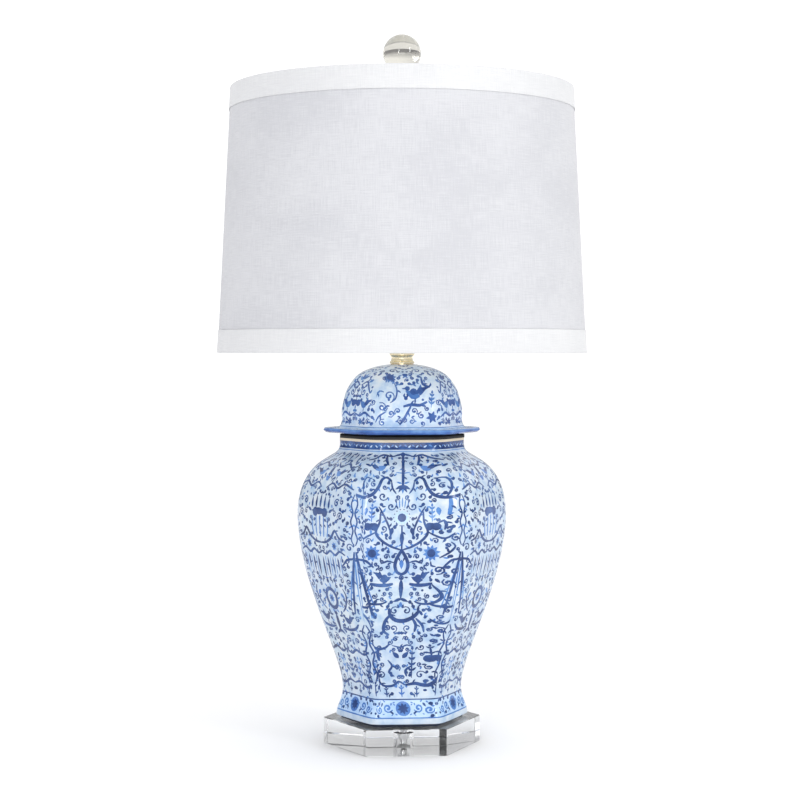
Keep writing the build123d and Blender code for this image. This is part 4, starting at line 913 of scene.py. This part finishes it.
def side_panel():
    """The side design: a candelabrum over swags, a fringe, a wreath and stems."""
    p = Painting(JAR)
    jar_borders(p)
    corner_column(p)
    for x, top in ((0, 283), (7, 281), (14, 282.5), (22, 280)):
        p.both(p.leaf, x + 0.3, up(top), 285, 9.0, 2.6, INK, 0.12)
    p.both(p.vine, at([(2, 274), (10, 270), (19, 273.5), (28, 270), (36, 273)]), 1.7)
    p.both(p.bird, 16.0, up(264.0), 15, BLUE)
    p.leaf(1, 0, up(271), 270, 15, 4.6, INK)
    p.both(p.leaf, 0.6, up(266), 230, 7, 2.6, BLUE)
    p.both(p.curl, 31.0, up(263.0), 4.2, 200, 1.2, 1.4)
    p.both(p.vine, at([(4, 251), (13, 255.5), (23, 251.5), (33, 255.5), (46, 251)]), 1.7)
    for x in (0.0, 7.2, 14.4):
        draw = p.mirrored(x)
        draw(p.leaf, x, up(231.5), 90, 14.5 - x * 0.25, 3.4, INK)
        draw(p.disc, x, up(246.6 - x * 0.25), 1.3, INK)
        draw(p.vine, at([(x * 0.9, 224), (x * 0.95, 214), (x * 0.8, 205)]), 1.5, BLUE, 0.7)
    p.urn(1, 0, up(228.0), 30.0, 9.0, INK)
    p.both(p.leaf, 15, up(228.5), 25, 8, 3.0, INK)
    p.both(p.curl, 27.0, up(238.0), 4.4, 30, 1.25, 1.5)
    p.both(p.curl, 34.0, up(226.0), 4.6, 200, 1.25, 1.4, wind=-1)
    p.both(p.vine, at([(0, 199.5), (9, 200.5), (18, 205), (25, 212), (31, 206), (40, 203)]), 2.1)
    p.both(p.vine, at([(0, 191.5), (7, 189), (14, 192.5), (22, 189), (30, 193), (38, 190)]), 1.8)
    p.both(p.flower, 22.0, up(197.3), 4.6, 8, BLUE, INK, 0.45)
    for x in (0.0, 8.5, 17.0, 25.5):
        draw = p.mirrored(x)
        draw(p.leaf, x, up(187), 270, 25 - x * 0.4, 3.2, INK)
        draw(p.vine, at([(x + 4.2, 187), (x + 4.0, 176), (x + 3.4, 168)]), 1.0, BLUE)
    p.both(p.curl, 34.0, up(178.0), 4.0, 90, 1.2, 1.3)
    p.both(p.curl, 36.0, up(164.5), 4.2, 300, 1.2, 1.3, wind=-1)
    angles = np.linspace(0, 2 * math.pi, 29)
    p.ribbon([(8.6 * math.cos(a), up(146) + 9.6 * math.sin(a)) for a in angles], 2.8, INK)
    for i in range(10):
        angle = 36 * i
        c, s = math.cos(math.radians(angle)), math.sin(math.radians(angle))
        p.leaf(1, 10.4 * c, up(146) + 11.4 * s, angle + 30, 5.2, 2.4, BLUE)
    p.flower(1, 0, up(146), 5.0, 8, BLUE, INK, 0.4)
    p.both(p.vine, at([(14, 134), (21, 140), (26, 150), (23, 157)]), 1.7)
    p.both(p.curl, 30.0, up(145.0), 4.4, 160, 1.2, 1.4)
    p.both(p.bird, 20.0, up(125.5), 16, INK)
    p.both(p.vine, at([(6, 118.5), (16, 117.0), (27, 119.0), (33, 124)]), 2.2)
    p.leaf(1, 0, up(132), 270, 22, 5.0, INK)
    p.both(p.leaf, 0.5, up(116), 215, 9, 3.2, INK)
    p.both(p.curl, 11.0, up(107.5), 4.2, 60, 1.25, 1.4)
    p.both(p.curl, 24.0, up(107.0), 4.0, 240, 1.2, 1.4, wind=-1)
    p.both(p.vine, at([(0, 97), (8, 93.5), (17, 97.5), (27, 94), (34, 97)]), 2.0)
    p.sprig(1, 0, up(69), 90, 24, 4, INK, 6.0)
    p.both(p.sprig, 12.0, up(66), 84, 22, 3, BLUE, 5.4)
    p.both(p.sprig, 24.0, up(66), 80, 20, 3, INK, 5.0)
    p.both(p.vine, at([(0, 63.5), (9, 65.5), (18, 61.5), (27, 64)]), 1.8)
    p.both(p.sprig, 8.0, up(53.5), 90, 6.5, 1, INK, 3.6)
    p.both(p.sprig, 22.0, up(53.5), 88, 7.5, 2, INK, 3.6)
    p.fill((up(56), up(282)), 21)
    p.fill((up(36), up(50)), 22, 1.5, 2.4, 300)
    return p


def jar_inside(panel, across):
    """From the rim in over its top, down the inside wall, across the floor and out to the pipe's hole."""
    wall, floor = 5.0, 6.0
    top = JAR.length
    share = across / float(JAR.half(top))
    rows = []
    for z in (JAR_HIGH.z / MM, 290, 284, 278, 268, 252, 225, 180, 120, 70, 50, JAR_LOW.z / MM + floor):
        y = up(z)
        x = share * float(JAR.half(y))
        point = JAR.point(x, y, round(panel)) - wall * JAR.normal(x, y, round(panel)) * (1, 1, 0)
        rows.append((point[0], point[1], z))
    x, y = rows[0][:2]
    angle = math.atan2(y, x)
    return rows + [(PIPE_HOLE * math.cos(angle), PIPE_HOLE * math.sin(angle), JAR_LOW.z / MM + z) for z in (floor, 0)]


def lean(x, y):
    """The front painting sits a little left of the panel's middle, most at the belly."""
    belly = np.interp(y, [up(35), up(70), up(130), up(230), up(284)], [-2.0, -5.0, -7.0, -6.5, -3.0])
    fade = np.clip((np.abs(x) / JAR.half(y) - 0.62) / 0.30, 0, 1)
    return belly * (1 - fade * fade * (3 - 2 * fade))


front, side = front_panel(), side_panel()
grommet_low, grommet_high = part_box("cord_grommet")
hole_level = up((grommet_low.z + grommet_high.z) / 2 / MM)
# The quad over the rim's top, under the lid, is painted shade: it takes the near-black tone.
jar = skin_object(
    "jar_painted", JAR, [front, side, side, front, side, side],
    jar_inside, [PAINTED_SHADE] + [PLAIN] * 14 + [BARE], JAR_GLAZES,
    warps=[lean, None, None, None, None, None], hole=(hole_level, GROMMET_HOLE),
)
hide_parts("jar_body")
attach(jar, "base")


# ---------------------------------------------------------------- the lid
def lid_curve():
    """The lid's outline from its seat, round the flange's lip, and up the dome: (level, reach, corner radius)."""
    seat, lip, flange, dome = LID_HIGH.z / MM - 65.2, 1.9, 4.6, 58.6
    tip = LID_HIGH.x / MM
    rows = [(seat, x, 22.0) for x in np.linspace(58.9, tip - lip, 6)]
    for middle, angles in ((seat + lip, (-60, -30, 0)), (seat + flange - lip, (0, 30, 60, 90))):
        for a in np.radians(angles):
            rows.append((middle + lip * math.sin(a), tip - lip + lip * math.cos(a), 20.0))
    rows += [(seat + flange - 0.02, x, 20.5) for x in np.linspace(tip - lip - 1.5, 65.0, 5)]
    shares = [
        (4.9, 1.078, 0.41), (5.6, 1.058, 0.42), (7.2, 1.036, 0.42), (10.5, 1.005, 0.42), (20, 1.0, 0.42),
        (32, 0.967, 0.44), (42, 0.917, 0.48), (50, 0.838, 0.52), (56, 0.752, 0.57), (60.5, 0.640, 0.62),
        (64, 0.490, 0.68), (66.4, 0.320, 0.75), (67.2, 0.225, 0.80),
    ]
    dome_rows = [(seat - 2.0 + rise, dome * share, dome * share * corner) for rise, share, corner in shares]
    return np.vstack([rows, smooth_curve(dome_rows, 260)])


LID = Hexagon(lid_curve())
LID_SEAT = LID.z[0]
LIP_START, LIP_END = LID.along[5], LID.along[12]
DOME_START = int(np.argmax(LID.z > LID_SEAT + 5.5))


def rise(z):
    """How far along the lid's outline a level of the dome is."""
    return float(np.interp(z, LID.z[DOME_START:], LID.along[DOME_START:]))


def on_dome(points):
    return [(x, rise(z)) for x, z in points]


def lid_borders(p):
    """The dark lip, the washed flange and the line round the dome's foot, which every panel has. The first 8 mm of
    the flange's underside, out from the seat, is painted shade.
    """
    foot = rise(308.2)
    p.bands = [
        (0.0, 8.0, PAINTED_SHADE), (LIP_START - 1.0, LIP_START + 3.2, INK), (LIP_START + 3.2, LIP_END - 0.6, BLUE),
        (LIP_END - 0.6, foot - 1.5, PALE), (foot - 1.5, foot - 0.7, BLUE),
    ]
    for i in range(7):
        p.both(p.leaf, 2.5 + 4.9 * i, (LIP_END + foot) / 2 - 1.0, (145, 35)[i % 2], 3.4, 1.3, BLUE)


def lid_front():
    """A perched bird, a round bloom and open scrolls."""
    p = Painting(LID, 1.35)
    lid_borders(p)
    p.flower(1, -14.3, rise(354.0), 6.4, 9, BLUE, INK, 0.5)
    p.vine(1, on_dome([(-10.5, 349), (-8.2, 342), (-10.0, 334), (-15.0, 330.5)]), 1.2)
    p.curl(1, -15.6, rise(337.0), 5.6, 300, 1.2, 1.3)
    p.vine(1, on_dome([(-20.5, 340.5), (-24.5, 341.5), (-28.5, 337), (-29.5, 331)]), 1.3)
    p.leaf(1, -29.0, rise(340.0), 75, 5.5, 2.6, INK)
    p.curl(1, -22.6, rise(326.5), 4.8, 120, 1.2, 1.3, wind=-1)
    p.curl(1, -14.2, rise(320.5), 3.9, 230, 1.1, 1.3)
    p.curl(1, -22.5, rise(311.8), 4.0, 60, 1.1, 1.2)
    p.vine(1, on_dome([(-18.5, 322.5), (-26, 317.5), (-29, 312)]), 1.2)
    p.bird(1, 10.0, rise(338.0), 21, BLUE, 6)
    p.disc(1, 7.4, rise(341.0), 3.4, INK, 10)
    p.vine(1, on_dome([(-2.5, 327.0), (5, 328.8), (13, 328.2), (20, 331.5)]), 2.2, INK, 0.6)
    p.vine(1, on_dome([(5, 328), (1.5, 321.5), (-2.5, 314.5), (-6, 309.8)]), 1.8)
    p.curl(1, -1.0, rise(314.6), 3.2, 150, 1.1, 1.3)
    p.vine(1, on_dome([(15.0, 354), (16.5, 348.0), (22.5, 345.5), (25.5, 349.5)]), 2.0)
    p.curl(1, 5.5, rise(357.0), 3.0, 20, 1.1, 1.1)
    p.curl(1, 1.5, rise(351.5), 2.6, 220, 1.0, 1.1, wind=-1)
    p.flower(1, 24.8, rise(317.0), 6.2, 6, INK, BLUE, 0.3)
    p.curl(1, 14.5, rise(318.5), 3.8, 90, 1.1, 1.3)
    p.curl(1, 15.5, rise(311.0), 3.0, 250, 1.0, 1.1)
    p.sprig(1, 24.0, rise(326.0), 84, 13, 3, BLUE, 5.0)
    p.fill((rise(310.0), LID.length - 1.5), 31)
    return p


def lid_side():
    """Leaf clusters over an urn and scrolls."""
    p = Painting(LID, 1.35)
    lid_borders(p)
    for angle in (150, 110, 70, 30):
        p.leaf(1, 0, rise(352), angle, 9.0, 3.6, INK if angle in (110, 30) else BLUE, 0.1)
    p.both(p.vine, on_dome([(2, 347), (9, 350), (15, 345), (20, 339)]), 1.6)
    p.both(p.curl, 9.5, rise(340.5), 4.6, 110, 1.2, 1.3)
    p.both(p.bird, 15.0, rise(328.0), 16, BLUE)
    p.urn(1, 0, rise(330.0), 15.0, 7.0, INK)
    p.sprig(1, 0, rise(333.0), 90, 9, 2, INK, 4.4)
    p.both(p.vine, on_dome([(0, 320.5), (8, 318), (17, 321), (25, 317)]), 1.8)
    p.both(p.flower, 9.0, rise(312.5), 4.0, 7, INK, BLUE, 0.4)
    p.both(p.curl, 20.5, rise(312.5), 3.4, 30, 1.1, 1.2)
    p.both(p.curl, 26.0, rise(331.0), 3.6, 200, 1.1, 1.2)
    p.fill((rise(310.0), LID.length - 1.5), 32)
    return p


def lid_inside(panel, across):
    """From the crown in to the pipe's hole, down inside the dome, round the skirt and out under the seat."""
    share = across / float(LID.half(LID.length))
    crown = LID.point(across, LID.length, round(panel))
    angle = math.atan2(crown[1], crown[0])
    wall = 4.5
    top = LID.z[-1]
    rows = [(PIPE_HOLE * math.cos(angle), PIPE_HOLE * math.sin(angle), z) for z in (top, top - wall)]
    for z in (363.5, 359.5, 354, 346, 336, 325):
        y = rise(z)
        x = share * float(LID.half(y))
        rows.append(tuple(LID.point(x, y, round(panel)) - wall * LID.normal(x, y, round(panel))))
    y = rise(LID_SEAT + 18)
    section = LID.point(share * float(LID.half(y)), y, round(panel))
    skirt, under = LID_SEAT - 11, LID_SEAT - 2
    for z, size in ((312, 0.905), (300, 0.846), (skirt, 0.846), (skirt, 0.923), (under, 0.923), (under, 1.004)):
        rows.append((section[0] * size, section[1] * size, z))
    return rows


crown_side = lid_side()
# The skirt's foot and outside and the ring under the seat are painted shade, for the shadow in the gap between lid
# and jar.
lid = skin_object(
    "lid_painted", LID, [lid_front(), crown_side, crown_side, lid_front(), crown_side, crown_side],
    lid_inside, [BARE] * 2 + [PLAIN] * 9 + [PAINTED_SHADE] * 5, LID_GLAZES,
)
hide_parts("jar_lid")
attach(lid, "base")

# ---------------------------------------------------------------- the shade's cloth
FABRIC_LOW, FABRIC_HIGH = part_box("shade_fabric")
TRIM_TOP_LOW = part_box("shade_trim_top")[0]
TRIM_BOTTOM_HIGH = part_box("shade_trim_bottom")[1]
SPAN = SHADE_HIGH.z - SHADE_LOW.z
TRIM_SHEET = 0.0008
DRUM_RADIUS = 0.17
THREAD_PITCH = 0.0007
FOOT_RADIUS = TRIM_BOTTOM_HIGH.x - TRIM_SHEET
HEAD_RADIUS = SHADE_HIGH.x - TRIM_SHEET


def thread(tree, vector, direction, pitch):
    """Threads side by side along X or Z. The wave texture's period is 2 pi over its scale."""
    wave = put(tree, "ShaderNodeTexWave", Vector=vector, Scale=1.0 / pitch / 6.283, Distortion=0.0)
    wave.bands_direction = direction
    return wave.outputs["Fac"]


def linen(name, colour, tint):
    """Plain-woven slub linen. The weave runs round the drum and up it, and its seam is at the back."""
    material, tree, shader = new_material(name)
    parts = put(tree, "ShaderNodeSeparateXYZ", Vector=object_coordinates(tree))
    bearing = maths(tree, "ARCTAN2", parts.outputs["X"], maths(tree, "MULTIPLY", parts.outputs["Y"], -1.0))
    round_it = maths(tree, "MULTIPLY", bearing, DRUM_RADIUS)
    cloth = put(tree, "ShaderNodeCombineXYZ", X=round_it, Z=parts.outputs["Z"])
    flat = cloth.outputs["Vector"]

    def stretched(scale, detail):
        mapping = put(tree, "ShaderNodeMapping", Vector=flat, Scale=scale)
        return noise(tree, mapping.outputs["Vector"], 1.0, detail)

    warp_slub, weft_slub = stretched((1500, 1, 60), 2.0), stretched((60, 1, 1500), 2.0)
    cloudy = stretched((9, 1, 14), 3.0)
    slubs = maths(tree, "ADD", warp_slub, weft_slub)
    weave = (thread(tree, flat, direction, THREAD_PITCH) for direction in "XZ")
    height = maths(tree, "ADD", slubs, maths(tree, "MULTIPLY", *weave))
    tone = remap(tree, maths(tree, "ADD", slubs, cloudy), 0.0, 1.0, 1.15, 1.85)
    tree.links.new(ramp(tree, tone, [(0.2, tint), (0.8, colour)]), shader.inputs["Base Color"])
    shader.inputs["Roughness"].default_value = 0.92
    shader.inputs["Specular IOR Level"].default_value = 0.25
    shader.inputs["Sheen Weight"].default_value = 0.25
    shader.inputs["Sheen Roughness"].default_value = 0.5
    tree.links.new(bump(tree, height, 0.35, 0.0003), shader.inputs["Normal"])
    return material


LINEN = linen("linen_white", (0.625, 0.63, 0.655), (0.545, 0.55, 0.58))
BINDING = linen("linen_binding", (0.715, 0.72, 0.73), (0.655, 0.66, 0.675))


def drum_radius(z):
    """The outside of the cloth at a level, in metres."""
    return FOOT_RADIUS + (HEAD_RADIUS - FOOT_RADIUS) * (z - SHADE_LOW.z) / SPAN


def ring_of_cloth(name, profile, material, count=256, ripple=0.0):
    """A closed band of cloth round the drum. profile is a loop of (out from the cloth's face, level) in metres."""
    bm = bmesh.new()
    uv = bm.loops.layers.uv.new("OFBake")
    columns = []
    for i in range(count):
        angle = 2 * math.pi * i / count - math.pi / 2
        wave = ripple * (math.sin(7 * angle + 1.3) + 0.6 * math.sin(19 * angle + 0.4) + 0.4 * math.sin(41 * angle))
        column = []
        for out, z in profile:
            radius = drum_radius(z) + out + (wave if out > -0.0004 else wave * 0.3)
            column.append(bm.verts.new((radius * math.cos(angle), radius * math.sin(angle), z)))
        columns.append(column)
    rows = len(profile)
    for i in range(count):
        here, there = columns[i], columns[(i + 1) % count]
        for j in range(rows):
            k = (j + 1) % rows
            face = bm.faces.new([here[j], there[j], there[k], here[k]])
            face.smooth = True
            for loop, (u, v) in zip(face.loops, ((i, j), (i + 1, j), (i + 1, j + 1), (i, j + 1))):
                loop[uv].uv = (0.01 + 0.98 * u / count, 0.01 + 0.98 * v / rows)
    if bm.calc_volume(signed=True) < 0:
        bmesh.ops.reverse_faces(bm, faces=bm.faces[:])
    mesh = bpy.data.meshes.new(name)
    bm.to_mesh(mesh)
    bm.free()
    mesh.materials.append(material)
    return placed(name, mesh)


def cloth_profile():
    low, high, thick = FABRIC_LOW.z, FABRIC_HIGH.z, 0.0005
    levels = np.linspace(low, high, 30)
    return [(0.0, z) for z in levels] + [(-thick, z) for z in levels[::-1]]


def trim_profile(edge, inward, band, flap):
    """A strip folded over the drum's edge: a band outside, a rounded fold, and a flap turned in behind the ring.

    inward is +1 for the bottom edge, where the strip lies above the edge, and -1 for the top."""
    inset, sheet = 0.0045, TRIM_SHEET
    outside = [(sheet * 0.55, band), (sheet * 0.9, band - inward * 0.0006)]
    outside += [(sheet * 0.9, edge + (band - edge) * t) for t in (0.8, 0.6, 0.4, 0.2, 0.1)]
    outside += [(sheet * 0.95, edge + inward * 0.0012), (sheet * 0.6, edge + inward * 0.0004), (0.0, edge)]
    under = [(-inset * t, edge) for t in (0.25, 0.5, 0.75)]
    under += [(-inset - sheet * 0.4, edge + inward * 0.0002), (-inset - sheet, edge + inward * 0.0010)]
    inner = [(-inset - sheet, edge + (flap - edge) * t) for t in (0.3, 0.6, 0.9)] + [(-inset - sheet * 0.5, flap)]
    back = [(-inset, edge + (flap - edge) * 0.9), (-inset, edge + inward * (sheet + 0.0002))]
    back += [(-0.0002, edge + inward * (sheet + 0.0001)), (0.0001, edge + (band - edge) * 0.5)]
    back += [(0.0001, band - inward * 0.0006)]
    return outside + under + inner + back


cloth = ring_of_cloth("shade_linen", cloth_profile(), LINEN)
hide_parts("shade_fabric")
trim_low = ring_of_cloth(
    "trim_low", trim_profile(SHADE_LOW.z, 1, TRIM_BOTTOM_HIGH.z, SHADE_LOW.z + 0.009), BINDING, ripple=0.00004)
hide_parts("shade_trim_bottom")
trim_high = ring_of_cloth(
    "trim_high", trim_profile(SHADE_HIGH.z, -1, TRIM_TOP_LOW.z, SHADE_HIGH.z - 0.009), BINDING, ripple=0.00004)
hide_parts("shade_trim_top")
for piece in (cloth, trim_low, trim_high):
    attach(piece, "shade")

STYRENE = plastic("styrene_liner", (0.88, 0.88, 0.86), (0.84, 0.84, 0.82), 0.45, 400, 0.0001)
nodes["shade_liner"].data.materials.clear()
nodes["shade_liner"].data.materials.append(STYRENE)


# ---------------------------------------------------------------- camera, light and floor
def aim(obj, target):
    obj.rotation_euler = (Vector(target) - obj.location).to_track_quat("-Z", "Y").to_euler()


floor_mesh = bpy.data.meshes.new("floor")
floor_mesh.from_pydata([(-60, -60, 0), (60, -60, 0), (60, 60, 0), (-60, 60, 0)], [], [(0, 1, 2, 3)])
floor = placed("floor", floor_mesh)
paper, tree, shader = new_material("paper_floor")
shader.inputs["Base Color"].default_value = (0.93, 0.93, 0.93, 1)
shader.inputs["Roughness"].default_value = 0.9
floor_mesh.materials.append(paper)

bpy.context.scene.view_settings.view_transform = "Standard"
world = bpy.data.worlds.new("studio")
world.use_nodes = True
tree = world.node_tree
sky = put(tree, "ShaderNodeSeparateXYZ", Vector=tree.nodes.new("ShaderNodeTexCoord").outputs["Generated"])
dome = ramp(tree, sky.outputs["Z"], [(0.0, (0.24, 0.24, 0.25)), (0.10, (0.28, 0.28, 0.29)), (0.34, (1.0, 1.0, 1.0))])
sideways = remap(tree, sky.outputs["X"], 0.0, 1.0, -1.0, 1.0)
flanks = ramp(tree, sideways, [(0.05, (0.74, 0.74, 0.76)), (0.6, (1.0, 1.0, 1.0))])
seen = put(tree, "ShaderNodeMix")
seen.data_type = "RGBA"
tree.links.new(tree.nodes.new("ShaderNodeLightPath").outputs["Is Camera Ray"], seen.inputs["Factor"])
tree.links.new(multiplied(tree, dome, flanks), seen.inputs[6])
seen.inputs[7].default_value = (1, 1, 1, 1)
tree.links.new(seen.outputs[2], tree.nodes["Background"].inputs["Color"])
tree.nodes["Background"].inputs["Strength"].default_value = 1.27
bpy.context.scene.world = world


def area_light(name, place, target, size, power):
    light = bpy.data.lights.new(name, "AREA")
    light.shape = "RECTANGLE"
    light.size, light.size_y = size
    light.energy = power
    lamp = placed(name, light)
    lamp.location = place
    aim(lamp, target)


LAMP_MIDDLE = (0, 0, SHADE_HIGH.z / 2)
area_light("key_right", (1.6, -1.6, 1.15), LAMP_MIDDLE, (0.32, 1.0), 9)
area_light("strip_left", (-0.9, -2.0, 0.9), LAMP_MIDDLE, (0.16, 0.9), 6)
area_light("low_front", (-0.3, -2.3, 0.22), (0, 0, 0.3), (1.6, 0.36), 5)

camera_data = bpy.data.cameras.new("camera")
camera = placed("camera", camera_data)
AZIMUTH, PITCH, DISTANCE, HEIGHT, FOCAL = -4.0, 1.548, 1.786, 0.380, 1850
around = math.radians(AZIMUTH)
camera.location = (DISTANCE * math.sin(around), -DISTANCE * math.cos(around), HEIGHT)
camera.rotation_euler = (math.radians(90 - PITCH), 0, around)
SENSOR, PICTURE_WIDTH = 36, 800
camera_data.sensor_width = SENSOR
camera_data.lens = FOCAL * SENSOR / PICTURE_WIDTH
camera_data.shift_x = -2 / PICTURE_WIDTH
camera_data.clip_end = 50
bpy.context.scene.camera = camera
